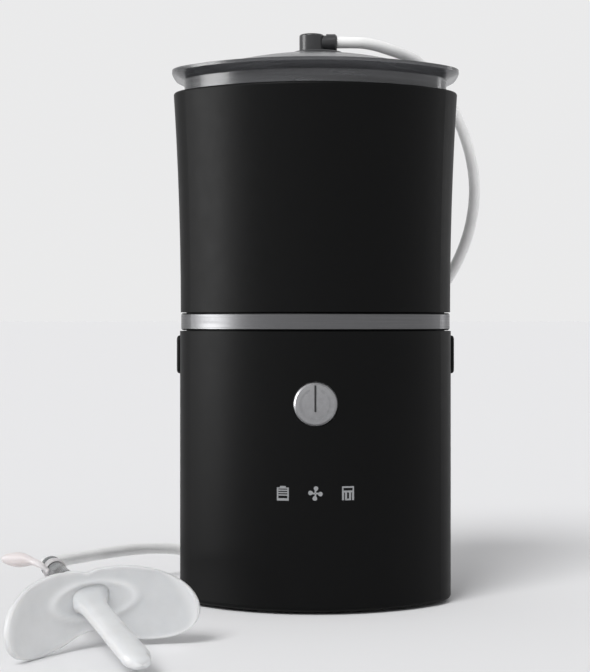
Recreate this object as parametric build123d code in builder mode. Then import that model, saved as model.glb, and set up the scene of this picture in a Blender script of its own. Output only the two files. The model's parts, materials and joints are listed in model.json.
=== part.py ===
from build123d import *
from math import acos, asin, atan2, ceil, cos, degrees, hypot, pi, radians, sin, sqrt, tan
import os

# Bedside suction console with a saliva canister, a silicone tube and a mouthpiece.
# Sizes are in millimetres. The console stands on Z = 0, its front looks along -Y
# and the origin is the centre of its footprint.

# Plan outline of the console: two bulged faces, two nearly flat sides, round corners
BODY_WIDTH = 59.9
BODY_DEPTH = 51.0
FACE_RADIUS = 36.0
SIDE_RADIUS = 150.0
CORNER_RADIUS = 11.0

# Heights above the table
FOOT_HEIGHT = 0.6
HOUSING_TOP = 59.3
BAND_HEIGHT = 3.7
SLEEVE_TOP = 111.5
SEAM = 0.2
LID_FLANGE_BOTTOM = 114.4
LID_FLARE_HEIGHT = 1.4
LID_FLANGE_EDGE = 0.7
LID_RISE = 4.4
LID_DOME_RADIUS = 26.0
LID_LAND_DROP = 0.2

# Walls and running gaps
HOUSING_WALL = 1.8
SLEEVE_WALL = 1.6
SLEEVE_WAIST_INSET = 0.15
SLEEVE_FLARE = 1.55
CUP_WALL = 1.4
LID_WALL = 1.3
BAND_WALL = 1.0
BAND_INSET = 0.25
BAND_BEVEL = 0.3
SLEEVE_EDGE_RADIUS = 0.5
FIT_GAP = 0.3
RUNNING_GAP = 0.05

# Lower housing
COVER_THICKNESS = 2.0
BOSS_X = 22.3
BOSS_Y = 12.0
BOSS_RADIUS = 3.0
SCREW_RADIUS = 0.95
SCREW_HEAD_RADIUS = 1.8
SCREW_HEAD_HEIGHT = 1.1
SCREW_LENGTH = 7.0
SPIGOT_WALL = 1.6
SPIGOT_HEIGHT = 1.9
HOUSING_EDGE_RADIUS = 1.0
FOOT_RADIUS = 3.2
FOOT_X = 14.0
FOOT_Y = 13.0
FOOT_RECESS = 0.7

# Deck between the electronics and the canister bay
DECK_THICKNESS = 2.0
DECK_BOTTOM = 56.2
NOZZLE_RADIUS = 2.5
NOZZLE_BORE = 1.0
NOZZLE_HEIGHT = 4.8
SEAL_RADIUS = 4.2
SEAL_HEIGHT = 2.8
BARB_RADIUS = 1.1
BARB_LENGTH = 4.5
BARB_X = 3.4
DECK_EAR_RADIUS = 2.25
SENSOR_SIDE = 5.0
SENSOR_HEIGHT = 2.4
SENSOR_Y = -7.0

# Power button and its switch
BUTTON_HEIGHT = 44.1
BUTTON_RADIUS = 4.5
BUTTON_GAP = 0.2
BUTTON_PROUD = 0.5
BUTTON_TRAVEL = 0.8
BUTTON_RIM = 0.9
BUTTON_EDGE = 0.35
BUTTON_FLANGE_THICKNESS = 0.8
MARK_RADIUS = 3.1
MARK_WIDTH = 0.45
MARK_DEPTH = 0.3
MARK_GAP_WIDTH = 2.2
MARK_BAR_LENGTH = 5.6
MARK_BAR_LIFT = 1.2
BUTTON_CROWN = 0.2
PLUNGER_REACH = 1.0
SWITCH_SIDE = 6.0
SWITCH_DEPTH = 3.1
PLUNGER_RADIUS = 1.6

# Circuit board, lamps and light guides
BOARD_FRONT = -17.0
BOARD_THICKNESS = 1.2
BOARD_WIDTH = 34.0
BOARD_BOTTOM = 14.0
BOARD_TOP = 54.0
BOARD_SCREW_X = 14.3
BOARD_SCREW_SPAN = 34.0
CHIP_HEIGHT = 1.0
ICON_HEIGHT = 25.5
ICON_SPACING = 6.8
LED_SIZE = 1.6
LED_DEPTH = 0.6
GUIDE_RADIUS = 1.2
GUIDE_BAR_HEIGHT = 3.4
GUIDE_BAR_THICKNESS = 1.2
GUIDE_PEG_RADIUS = 0.7
GUIDE_GAP = 0.2

# Chassis and battery
CHASSIS_THICKNESS = 1.2
BOARD_STANDOFF = 1.2
CHASSIS_WIDTH = 34.0
BATTERY_WIDTH = 30.0
BATTERY_HEIGHT = 40.0
BATTERY_DEPTH = 5.6
BATTERY_BOTTOM = 9.0
CRADLE_LIP = 1.2

# Diaphragm pump
PUMP_X = -11.0
PUMP_Y = 4.0
MOTOR_RADIUS = 6.2
MOTOR_BOTTOM = 4.4
MOTOR_LENGTH = 20.0
MOUNT_WALL = 1.2
MOUNT_HEIGHT = 6.0
SHAFT_RADIUS = 0.75
PUMP_HEAD_SIDE = 15.0
PUMP_HEAD_HEIGHT = 10.0
CRANK_RADIUS = 3.0
CRANK_THROW = 0.8
CRANK_HEIGHT = 3.0
CRANK_CHAMBER_RADIUS = 4.8
DIAPHRAGM_RADIUS = 6.0
DIAPHRAGM_THICKNESS = 0.8
VALVE_COVER_HEIGHT = 3.4
PUMP_BARB_X = 2.6

# Vent valve
VALVE_X = 11.0
VALVE_Y = 4.0
VALVE_SIDE = 10.0
VALVE_BOTTOM = 8.0
VALVE_HEIGHT = 15.0
VALVE_PIN_RADIUS = 1.5
VALVE_PIN_LENGTH = 8.0
VALVE_STROKE = 0.8

# Hoses inside the housing
HOSE_WALL = 0.8

# Charging socket
SOCKET_HEIGHT = 11.8
SOCKET_WIDTH = 9.0
SOCKET_THICKNESS = 3.2
SOCKET_DEPTH = 7.2
SOCKET_WALL = 0.35
SOCKET_RECESS = 0.4
CHARGE_BOARD_WIDTH = 16.0
CHARGE_BOARD_DEPTH = 10.4

# Release buttons on the two sides
RELEASE_WIDTH = 12.0
RELEASE_BOTTOM = 49.9
RELEASE_TOP = 58.3
RELEASE_PROUD = 0.65
RELEASE_GAP = 0.2
RELEASE_FLANGE = 0.8
RELEASE_FLANGE_THICKNESS = 1.0
RELEASE_TRAVEL = 1.0
FINGER_WIDTH = 6.0
FINGER_THICKNESS = 1.3
FINGER_RISE = 7.0
FINGER_NOSE = 0.25
ARM_THICKNESS = 1.4
SPRING_RADIUS = 1.9
SPRING_WIRE = 0.5
SPRING_POST_THICKNESS = 1.4

# Canister
CUP_FLOOR = 66.0
CUP_BOTTOM_INSET = 3.3
CUP_TOP_INSET = 0.9
SKIRT_WALL = 1.2
PORT_WALL = 1.7
STANDPIPE_RADIUS = 4.0
STANDPIPE_BORE = 2.5
STANDPIPE_TOP = 103.0
FILTER_THICKNESS = 1.2
FILTER_CAP_WALL = 1.0
FILTER_CAP_HEIGHT = 5.4
FILTER_CAP_OVERLAP = 3.0
PAD_HEIGHT = 16.0
PAD_INSET = 5.2
LID_PLUG_DEPTH = 4.0
LID_PLUG_WALL = 1.3
LID_SEAL_HEIGHT = 1.4
LID_SEAL_DEPTH = 0.7

# Elbow on the lid
ELBOW_PLATE_RADIUS = 5.85
ELBOW_PLATE_X = 0.5
ELBOW_PLATE_THICKNESS = 0.8
ELBOW_X = -0.8
ELBOW_RADIUS = 2.8
ELBOW_HEIGHT = 4.1
OUTLET_RADIUS = 2.05
OUTLET_END = 4.8
OUTLET_COLLAR = 1.2
OUTLET_BORE = 0.8

# Suction tube
TUBE_RADIUS = 1.3
TUBE_FLOOR_GAP = 0.05
TUBE_BORE = 0.6
TUBE_GRIP = 2.4
COIL_Y = 49.0
COIL_INNER_RADIUS = 10.5
COIL_PITCH = 3.5
COIL_LAYER = 3.4
COIL_LAYERS = 4
COIL_LAYER_TURNS = 2.0625
COIL_START_ANGLE = -90.0
COIL_CLIMB_TURNS = 0.5
COIL_ARC_TURNS = 0.25
COIL_STEP = 0.01
COIL_SAMPLE = 1.5

# Mouthpiece
SHIELD_PLACE = (-42.9, -60.0, 9.2)
SHIELD_YAW = 33.0
SHIELD_ROLL = 2.5
SHIELD_RADIUS = 28.0
SHIELD_THICKNESS = 1.3
SHIELD_EDGE = 0.5
SHIELD_COLLAR = 1.4
SHIELD_REACH = 10.0
# Circles a wing is drawn round: distance from the middle, height, radius
SHIELD_WING = [(0.0, -0.35, 5.25), (7.5, 0.1, 5.3), (13.7, -2.3, 6.1)]
PADDLE_YAW = 27.8
PADDLE_PITCH = 11.5
PADDLE_LENGTH = 29.0
PADDLE_WIDTH = 6.2
PADDLE_THICKNESS = 3.2
STEM_BOSS_LENGTH = 13.0
STEM_BOSS_RADIUS = 2.3
STEM_RADIUS = 1.9
STEM_BORE = 1.35
STEM_GRIP = 3.0
STEM_RUN_IN = 6.0
STEM_TOP = (-53.7, -35.0, 12.4)
TAB_CENTRE = (-61.0, -33.5, 12.6)
TAB_HALF_LENGTH = 3.1
TAB_RADIUS = 1.5
TAB_ARM_RADIUS = 0.8
TAB_RING_WALL = 0.8
TAB_RING_LENGTH = 2.4
TAB_RING_BACK = 4.5
PADDLE_PORT = 0.7
PADDLE_EDGE = 1.2
PADDLE_NOTCH = 1.6

# Derived heights and places
DECK_TOP = DECK_BOTTOM + DECK_THICKNESS
BAND_BOTTOM = HOUSING_TOP + SEAM
BAND_TOP = BAND_BOTTOM + BAND_HEIGHT
SLEEVE_BOTTOM = BAND_TOP + SEAM
COVER_TOP = FOOT_HEIGHT + COVER_THICKNESS
LID_EDGE_BOTTOM = LID_FLANGE_BOTTOM + LID_FLARE_HEIGHT
LID_FLANGE_TOP = LID_EDGE_BOTTOM + LID_FLANGE_EDGE
LID_APEX = LID_FLANGE_TOP + LID_RISE
LID_LAND = LID_APEX - LID_LAND_DROP
LID_OVERHANG = SLEEVE_FLARE - SLEEVE_WAIST_INSET + 0.35
LID_RADIUS = (LID_DOME_RADIUS**2 + LID_RISE**2) / (2 * LID_RISE)
BOARD_BACK = BOARD_FRONT + BOARD_THICKNESS
CHASSIS_FRONT = BOARD_BACK + BOARD_STANDOFF
CHASSIS_BACK = CHASSIS_FRONT + CHASSIS_THICKNESS
WALL_SIDE = BODY_WIDTH / 2 - HOUSING_WALL
MOTOR_TOP = MOTOR_BOTTOM + MOTOR_LENGTH
PUMP_HEAD_TOP = MOTOR_TOP + PUMP_HEAD_HEIGHT
VALVE_COVER_BOTTOM = PUMP_HEAD_TOP + DIAPHRAGM_THICKNESS
VALVE_COVER_TOP = VALVE_COVER_BOTTOM + VALVE_COVER_HEIGHT
VALVE_TOP = VALVE_BOTTOM + VALVE_HEIGHT
OUTLET_HEIGHT = LID_LAND + ELBOW_PLATE_THICKNESS + ELBOW_HEIGHT - OUTLET_RADIUS + 0.15
CUP_INNER_FLOOR = CUP_FLOOR + CUP_WALL
COIL_OUTER_RADIUS = COIL_INNER_RADIUS + COIL_PITCH * COIL_LAYER_TURNS
TUBE_FLOOR = TUBE_RADIUS + TUBE_FLOOR_GAP
COIL_TOP = TUBE_FLOOR + COIL_LAYER * (COIL_LAYERS - 1)

# Route of the tube from the elbow over the lid's edge and down behind the console
RISER_POINTS = [
    (OUTLET_END - TUBE_GRIP, 0.0, OUTLET_HEIGHT),
    (11.8, 0.0, OUTLET_HEIGHT),
    (18.0, 4.2, 122.6),
    (24.2, 12.1, 121.7),
    (30.3, 20.8, 115.8),
    (35.5, 24.5, 107.0),
    (38.3, 25.0, 96.0),
    (37.6, 25.0, 85.0),
    (33.8, 25.5, 74.5),
    (27.0, 29.0, 64.5),
    (18.0, 32.0, 55.0),
    (7.5, 33.5, 45.5),
    (-3.5, 34.5, 36.0),
    (-12.0, 32.0, 27.0),
    (-15.8, 31.4, 18.6),
    (-COIL_OUTER_RADIUS, 37.5, COIL_TOP),
    (-COIL_OUTER_RADIUS, COIL_Y - 2 * TUBE_RADIUS, COIL_TOP),
]

# Route of the tube from the coil past the console's left side to the mouthpiece
STEM_AXIS = (Vector(*STEM_TOP) - Vector(*SHIELD_PLACE)).normalized()
LEAD_POINTS = [
    (-2 * TUBE_RADIUS, COIL_Y - COIL_OUTER_RADIUS, TUBE_FLOOR),
    (-9.0, COIL_Y - COIL_OUTER_RADIUS, TUBE_FLOOR),
    (-21.0, 32.2, 2.6),
    (-32.6, 31.0, 5.6),
    (-40.8, 21.5, 7.6),
    (-46.5, 8.5, 8.4),
    (-50.4, -6.5, 9.6),
    (-52.6, -18.5, 10.4),
    tuple(Vector(*STEM_TOP) + STEM_AXIS * STEM_RUN_IN),
    tuple(Vector(*STEM_TOP) - STEM_AXIS * STEM_GRIP),
]


def outline(height, inset=0.0):
    """Plan outline of the console at a height, drawn inside the outer skin by inset."""
    half_width = BODY_WIDTH / 2 - inset
    half_depth = BODY_DEPTH / 2 - inset
    face_radius = FACE_RADIUS - inset
    side_radius = SIDE_RADIUS - inset
    with BuildSketch(Plane.XY.offset(height)) as drawn:
        with Locations((0, face_radius - half_depth)):
            Circle(face_radius)
        with Locations((0, half_depth - face_radius)):
            Circle(face_radius, mode=Mode.INTERSECT)
        with Locations((side_radius - half_width, 0)):
            Circle(side_radius, mode=Mode.INTERSECT)
        with Locations((half_width - side_radius, 0)):
            Circle(side_radius, mode=Mode.INTERSECT)
        fillet(drawn.vertices(), CORNER_RADIUS - inset)
    return drawn.sketch


# Clearances, chamfers and corner radii of the small details
SCREW_PLAY = 0.15
SCREW_HEAD_PLAY = 0.2
SCREW_SINK = 0.1
DRIVE_SPAN_SHARE = 1.3
DRIVE_SLOT = 0.5
DRIVE_DEPTH = 0.6
BEND_SHARE = 0.45
SOCKET_PLAY = 0.4
SOCKET_FLOOR = 1.0
TONGUE_MARGIN = 3.2
TONGUE_THICKNESS = 0.7
VALVE_CORNER = 1.0
VALVE_FLOOR = 1.0
VALVE_CHANNEL = 3.0
VALVE_PIN_SPARE = 0.6
VALVE_PIN_START = 1.3
CHARGE_BOARD_GAP = 1.2
CHARGE_POST_RADIUS = 1.5
CHARGE_POST_INSET = 4.0
CRADLE_INSET = 8.0
STANDOFF_RADIUS = 2.2
FOOT_CHAMFER = 0.3
DECK_CHAMFER = 0.4
RIB_MARGIN = 3.0
RIB_WIDTH = 4.0
RIB_DEPTH = 1.6
RIB_CHANNEL = 1.0
RIB_CHANNEL_DEPTH = 0.8
FINGER_PLAY = 1.0
SPRING_CLEARANCE = 0.6
SEAL_ROUND = 0.5
CROWN_ARC_SHARE = 0.76
BOARD_CORNER = 2.0
CHIP_CORNER = 0.3
SWITCH_CORNER = 0.5
PLUNGER_SPARE = 0.3
BATTERY_PLAY = 0.1
BATTERY_CORNER = 1.2
BATTERY_WINDOW = 6.0
MOTOR_CHAMFER = 0.5
MOTOR_CAP = 1.5
SHAFT_START = 2.5
CRANK_RISE = 3.0
CRANK_CLEARANCE = 1.0
PUMP_CORNER = 2.0
DIAPHRAGM_BOSS = 1.5
HOSE_END_GAP = 0.3
SUCTION_DIP = 1.4
SUCTION_LIFT = 1.6
HOSE_GRIP_DROP = 1.9
VENT_RISE = 8.0
VENT_DROP = 7.0
VENT_SWING_X = 3.4
VENT_SWING_Y = 2.2
SENSOR_CORNER = 0.4
CHARGE_BOARD_CORNER = 1.0
RELEASE_CORNER = 1.2
RELEASE_ROUND = 0.6
NOSE_PEAK = 0.6
NOSE_END = 1.6
STUD_GAP = 0.1
STUD_LENGTH = 1.5
FILTER_GAP = 0.1
CAP_ROUND = 0.5
CAP_HOLE = 0.6
CAP_HOLE_COUNT = 6
OUTLET_PLAY = 0.2
PLATE_CHAMFER = 0.3
TURRET_ROUND = 0.5
OUTLET_NECK = 0.3
COLLAR_CHAMFER = 0.4
COLLAR_MARGIN = 1.5
PADDLE_TIP_MARGIN = 0.3
STEM_PASSAGE = STEM_BORE - 0.35
TAB_ROUND_MARGIN = 0.1

# Chips on the board: place across, height, width, length
CHIPS = [
    (0, 33.5, 7, 6),
    (-10, 33, 4, 5),
    (10.5, 34, 4, 5),
    (-9, 19.5, 5, 3),
    (8.5, 20, 5, 3),
]


def face_y(x, inset=0.0):
    """Depth of the front face's surface at x, inset mm inside the skin."""
    return FACE_RADIUS - BODY_DEPTH / 2 - sqrt((FACE_RADIUS - inset) ** 2 - x**2)


def finish(part, name):
    """Label a finished piece and write it."""
    part.label = name
    export_step(part, f"parts/{name}.step")


def route_radii(points):
    """The largest arc at each corner of a tube's route."""
    radii = []
    for before, here, after in zip(points, points[1:], points[2:]):
        first = Vector(here) - Vector(before)
        second = Vector(after) - Vector(here)
        half_turn = radians(first.get_angle(second)) / 2
        radii.append(BEND_SHARE * min(first.length, second.length) / tan(half_turn))
    return radii


def ring(bottom, height, outer_inset, wall):
    """A hoop that follows the console's outline."""
    with BuildPart() as hoop:
        extrude(outline(bottom, outer_inset), amount=height)
        extrude(outline(bottom, outer_inset + wall), amount=height, mode=Mode.SUBTRACT)
    return hoop.part


os.makedirs("parts", exist_ok=True)

BOSS_PLACES = [(x, y) for x in (-BOSS_X, BOSS_X) for y in (-BOSS_Y, BOSS_Y)]
ICON_PLACES = [(-ICON_SPACING, ICON_HEIGHT), (0, ICON_HEIGHT), (ICON_SPACING, ICON_HEIGHT)]
SPIGOT_INSET = BAND_INSET + BAND_WALL + 0.15
RELEASE_MIDDLE = (RELEASE_BOTTOM + RELEASE_TOP) / 2
RELEASE_SPAN = RELEASE_TOP - RELEASE_BOTTOM
RELEASE_FLANGE_TOP = DECK_BOTTOM - RELEASE_GAP
RELEASE_FLANGE_BOTTOM = RELEASE_BOTTOM - RELEASE_FLANGE
RELEASE_FLANGE_MIDDLE = (RELEASE_FLANGE_TOP + RELEASE_FLANGE_BOTTOM) / 2
SPRING_HEIGHT = RELEASE_FLANGE_MIDDLE - 0.2
BUTTON_FACE = -BODY_DEPTH / 2 - BUTTON_PROUD
BUTTON_FLANGE = face_y(BUTTON_RADIUS + BUTTON_RIM, HOUSING_WALL) + BUTTON_GAP
BUTTON_BACK = BUTTON_FLANGE + BUTTON_FLANGE_THICKNESS
SWITCH_FRONT = BOARD_FRONT - SWITCH_DEPTH
RELEASE_FLANGE_X = WALL_SIDE - RELEASE_GAP
RELEASE_BACK_X = RELEASE_FLANGE_X - RELEASE_FLANGE_THICKNESS
SKIRT_INNER_X = BODY_WIDTH / 2 - CUP_BOTTOM_INSET - SKIRT_WALL
FINGER_OUTER_X = SKIRT_INNER_X - FINGER_NOSE - 0.15
FINGER_INNER_X = FINGER_OUTER_X - FINGER_THICKNESS
NOTCH_INNER_X = FINGER_INNER_X - RELEASE_TRAVEL - FIT_GAP
NOTCH_LENGTH = BODY_WIDTH / 2 - NOTCH_INNER_X
NOTCH_MIDDLE = NOTCH_INNER_X + NOTCH_LENGTH / 2
POST_OUTER_X = NOTCH_INNER_X - 0.15
POST_MIDDLE = POST_OUTER_X - SPRING_POST_THICKNESS / 2
ARM_TOP = DECK_BOTTOM - 0.2

# Lower housing: outer shell with screw bosses, button and release windows
with BuildPart() as lower_housing:
    extrude(outline(FOOT_HEIGHT), amount=HOUSING_TOP - FOOT_HEIGHT)
    fillet(lower_housing.faces().sort_by(Axis.Z)[0].edges(), HOUSING_EDGE_RADIUS)
    extrude(
        outline(FOOT_HEIGHT, HOUSING_WALL),
        amount=HOUSING_TOP - FOOT_HEIGHT,
        mode=Mode.SUBTRACT,
    )
    add(ring(HOUSING_TOP - 3 * SPIGOT_HEIGHT, 4 * SPIGOT_HEIGHT, SPIGOT_INSET, SPIGOT_WALL))
    with BuildSketch(Plane.XY.offset(COVER_TOP)):
        with Locations(*BOSS_PLACES):
            Circle(BOSS_RADIUS)
    extrude(amount=DECK_BOTTOM - COVER_TOP)
    with BuildSketch(Plane.XY.offset(COVER_TOP)):
        with Locations(*BOSS_PLACES):
            Circle(SCREW_RADIUS)
    extrude(amount=DECK_BOTTOM - COVER_TOP, mode=Mode.SUBTRACT)
    extrude(
        outline(DECK_BOTTOM, SPIGOT_INSET + SPIGOT_WALL),
        amount=HOUSING_TOP,
        mode=Mode.SUBTRACT,
    )
    with BuildSketch(Plane.XY.offset(DECK_BOTTOM)):
        with Locations(*BOSS_PLACES):
            Circle(DECK_EAR_RADIUS + RUNNING_GAP)
    extrude(amount=HOUSING_TOP, mode=Mode.SUBTRACT)
    with BuildSketch(Plane.XZ):
        with Locations((0, BUTTON_HEIGHT)):
            Circle(BUTTON_RADIUS + BUTTON_GAP)
    extrude(amount=BODY_DEPTH, mode=Mode.SUBTRACT)
    with BuildSketch(Plane.YZ):
        with Locations((0, RELEASE_MIDDLE)):
            Rectangle(RELEASE_WIDTH + 2 * RELEASE_GAP, RELEASE_SPAN + 2 * RELEASE_GAP)
    extrude(amount=BODY_WIDTH, both=True, mode=Mode.SUBTRACT)
    with BuildSketch(Plane.YZ):
        with Locations((0, RELEASE_MIDDLE)):
            Rectangle(
                RELEASE_WIDTH + 4 * RELEASE_FLANGE,
                RELEASE_SPAN + 2 * RELEASE_FLANGE + 4 * RELEASE_GAP,
            )
    extrude(amount=WALL_SIDE, both=True, mode=Mode.SUBTRACT)
    with BuildSketch(Plane.XZ):
        with Locations((0, SOCKET_HEIGHT)):
            SlotOverall(SOCKET_WIDTH + SOCKET_PLAY, SOCKET_THICKNESS + SOCKET_PLAY)
    extrude(amount=-BODY_DEPTH, mode=Mode.SUBTRACT)
finish(lower_housing.part, "lower_housing")

# Base cover: plate with screw holes, foot recesses, motor socket and posts
with BuildPart() as base_cover:
    extrude(outline(FOOT_HEIGHT, HOUSING_WALL + FIT_GAP / 2), amount=COVER_THICKNESS)
    with BuildSketch(Plane.XY.offset(COVER_TOP)):
        with Locations((PUMP_X, PUMP_Y)):
            Circle(MOTOR_RADIUS + 2 * MOUNT_WALL)
    extrude(amount=MOTOR_BOTTOM - COVER_TOP)
    with BuildSketch(Plane.XY.offset(MOTOR_BOTTOM)):
        with Locations((PUMP_X, PUMP_Y)):
            Circle(MOTOR_RADIUS + 2 * MOUNT_WALL)
            Circle(MOTOR_RADIUS + MOUNT_WALL, mode=Mode.SUBTRACT)
    extrude(amount=MOUNT_HEIGHT)
    with BuildSketch(Plane.XY.offset(COVER_TOP)):
        with Locations((VALVE_X, VALVE_Y)):
            RectangleRounded(VALVE_SIDE, VALVE_SIDE, VALVE_CORNER)
    extrude(amount=VALVE_BOTTOM - COVER_TOP)
    charge_board_y = BODY_DEPTH / 2 - HOUSING_WALL - CHARGE_BOARD_GAP - CHARGE_BOARD_DEPTH / 2
    charge_board_bottom = SOCKET_HEIGHT - SOCKET_THICKNESS / 2 - BOARD_THICKNESS
    with BuildSketch(Plane.XY.offset(COVER_TOP)):
        with Locations((0, charge_board_y)):
            with GridLocations(
                CHARGE_BOARD_WIDTH - CHARGE_POST_INSET,
                CHARGE_BOARD_DEPTH - CHARGE_POST_INSET,
                2,
                2,
            ):
                Circle(CHARGE_POST_RADIUS)
    extrude(amount=charge_board_bottom - COVER_TOP)
    with BuildSketch(Plane.XY.offset(COVER_TOP)):
        with Locations((0, CHASSIS_FRONT - CRADLE_LIP), (0, CHASSIS_BACK + CRADLE_LIP)):
            Rectangle(CHASSIS_WIDTH - CRADLE_INSET, CRADLE_LIP)
    extrude(amount=2 * CRADLE_LIP)
    with BuildSketch(Plane.XY.offset(FOOT_HEIGHT)):
        with Locations(*BOSS_PLACES):
            Circle(SCREW_RADIUS + SCREW_PLAY)
    extrude(amount=COVER_THICKNESS, mode=Mode.SUBTRACT)
    with BuildSketch(Plane.XY.offset(FOOT_HEIGHT)):
        with Locations(*BOSS_PLACES):
            Circle(SCREW_HEAD_RADIUS + SCREW_HEAD_PLAY)
    extrude(amount=SCREW_HEAD_HEIGHT + SCREW_SINK, mode=Mode.SUBTRACT)
    with BuildSketch(Plane.XY.offset(FOOT_HEIGHT)):
        with GridLocations(2 * FOOT_X, 2 * FOOT_Y, 2, 2):
            Circle(FOOT_RADIUS)
    extrude(amount=FOOT_RECESS, mode=Mode.SUBTRACT)
finish(base_cover.part, "base_cover")

# Rubber feet seated in the cover's recesses
with BuildPart() as rubber_feet:
    with BuildSketch(Plane.XY):
        with GridLocations(2 * FOOT_X, 2 * FOOT_Y, 2, 2):
            Circle(FOOT_RADIUS)
    extrude(amount=FOOT_HEIGHT + FOOT_RECESS)
    chamfer(rubber_feet.faces().group_by(Axis.Z)[0].edges(), FOOT_CHAMFER)
finish(rubber_feet.part, "rubber_feet")


def screws(seat, direction, head_radius, head_height, length, radius, places):
    """Pan head screws whose heads start at a seat height and point along direction."""
    with BuildPart() as made:
        with BuildSketch(Plane.XY.offset(seat)):
            with Locations(*places):
                Circle(head_radius)
        extrude(amount=direction * head_height)
        with BuildSketch(Plane.XY.offset(seat + direction * head_height)):
            with Locations(*places):
                Circle(radius)
        extrude(amount=direction * length)
        with BuildSketch(Plane.XY.offset(seat)):
            with Locations(*places):
                Rectangle(head_radius * DRIVE_SPAN_SHARE, DRIVE_SLOT)
                Rectangle(DRIVE_SLOT, head_radius * DRIVE_SPAN_SHARE)
        extrude(amount=direction * DRIVE_DEPTH, mode=Mode.SUBTRACT)
    return made.part


finish(
    screws(
        FOOT_HEIGHT + SCREW_SINK,
        1,
        SCREW_HEAD_RADIUS,
        SCREW_HEAD_HEIGHT,
        SCREW_LENGTH,
        SCREW_RADIUS - RUNNING_GAP,
        BOSS_PLACES,
    ),
    "base_screws",
)

# Metal trim band around the seam
with BuildPart() as trim_band:
    add(ring(BAND_BOTTOM, BAND_HEIGHT, BAND_INSET, BAND_WALL))
    band_rims = [face.outer_wire().edges() for face in trim_band.faces().filter_by(Axis.Z)]
    chamfer(band_rims[0] + band_rims[1], BAND_BEVEL)
finish(trim_band.part, "trim_band")


def sleeve_skin(steps, wall):
    """The sleeve's flared skin at a few heights, wall mm inside the outer surface."""
    sections = []
    for step in range(steps + 1):
        share = step / steps
        height = SLEEVE_BOTTOM + share * (SLEEVE_TOP - SLEEVE_BOTTOM)
        inset = SLEEVE_WAIST_INSET - SLEEVE_FLARE * share**2
        sections.append(outline(height, inset + wall).face())
    return sections


# Upper sleeve: flared shell around the canister, with a spigot inside the trim band
with BuildPart() as upper_sleeve:
    loft(sleeve_skin(3, 0))
    fillet(upper_sleeve.faces().sort_by(Axis.Z)[-1].edges(), SLEEVE_EDGE_RADIUS)
    loft(sleeve_skin(3, SLEEVE_WALL), mode=Mode.SUBTRACT)
    add(ring(HOUSING_TOP + SPIGOT_HEIGHT, SPIGOT_HEIGHT + 2, SPIGOT_INSET, SPIGOT_WALL))
finish(upper_sleeve.part, "upper_sleeve")

# Deck: plate on the bosses with the suction nozzle, hose barbs and spring posts
with BuildPart() as bay_deck:
    extrude(outline(DECK_BOTTOM, SPIGOT_INSET + SPIGOT_WALL + FIT_GAP), amount=DECK_THICKNESS)
    with BuildSketch(Plane.XY.offset(DECK_BOTTOM)):
        with Locations(*BOSS_PLACES):
            Circle(DECK_EAR_RADIUS)
    extrude(amount=DECK_THICKNESS)
    with BuildSketch(Plane.XY.offset(DECK_TOP)):
        Circle(NOZZLE_RADIUS)
    extrude(amount=NOZZLE_HEIGHT)
    chamfer(bay_deck.faces().sort_by(Axis.Z)[-1].edges(), DECK_CHAMFER)
    with BuildSketch(Plane.XY.offset(DECK_BOTTOM)):
        with Locations((-BARB_X, 0), (BARB_X, 0)):
            Circle(BARB_RADIUS)
    extrude(amount=-BARB_LENGTH)
    with BuildSketch(Plane.XY.offset(DECK_BOTTOM)):
        Rectangle(2 * BARB_X + RIB_MARGIN, RIB_WIDTH)
    extrude(amount=-RIB_DEPTH)
    with BuildSketch(Plane.XY.offset(DECK_BOTTOM)):
        with Locations((NOTCH_MIDDLE, 0), (-NOTCH_MIDDLE, 0)):
            Rectangle(NOTCH_LENGTH, FINGER_WIDTH + FINGER_PLAY)
    extrude(amount=DECK_THICKNESS, mode=Mode.SUBTRACT)
    with BuildSketch(Plane.XY.offset(DECK_BOTTOM)):
        with Locations((POST_MIDDLE, 0), (-POST_MIDDLE, 0)):
            Rectangle(SPRING_POST_THICKNESS, FINGER_WIDTH)
    extrude(amount=SPRING_HEIGHT - SPRING_RADIUS - SPRING_CLEARANCE - DECK_BOTTOM)
    with BuildSketch(Plane.XY.offset(DECK_BOTTOM)):
        with Locations(*BOSS_PLACES):
            Circle(SCREW_RADIUS + SCREW_PLAY)
    extrude(amount=DECK_THICKNESS, mode=Mode.SUBTRACT)
    with BuildSketch(Plane.XY.offset(DECK_TOP)):
        with Locations(*BOSS_PLACES):
            Circle(SCREW_HEAD_RADIUS + SCREW_HEAD_PLAY)
    extrude(amount=-SCREW_HEAD_HEIGHT - SCREW_SINK, mode=Mode.SUBTRACT)
    with BuildSketch(Plane.XY.offset(DECK_TOP + NOZZLE_HEIGHT)):
        Circle(NOZZLE_BORE)
    extrude(amount=-NOZZLE_HEIGHT - DECK_THICKNESS, mode=Mode.SUBTRACT)
    with BuildSketch(Plane.XY.offset(DECK_BOTTOM - BARB_LENGTH)):
        with Locations((-BARB_X, 0), (BARB_X, 0)):
            Circle(BARB_RADIUS / 2)
    extrude(amount=BARB_LENGTH, mode=Mode.SUBTRACT)
    with BuildSketch(Plane.XY.offset(DECK_BOTTOM)):
        Rectangle(2 * BARB_X, RIB_CHANNEL)
    extrude(amount=RIB_CHANNEL_DEPTH, mode=Mode.SUBTRACT)
finish(bay_deck.part, "bay_deck")

finish(
    screws(
        DECK_TOP - SCREW_SINK,
        -1,
        SCREW_HEAD_RADIUS,
        SCREW_HEAD_HEIGHT,
        SCREW_LENGTH,
        SCREW_RADIUS - RUNNING_GAP,
        BOSS_PLACES,
    ),
    "deck_screws",
)

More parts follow.
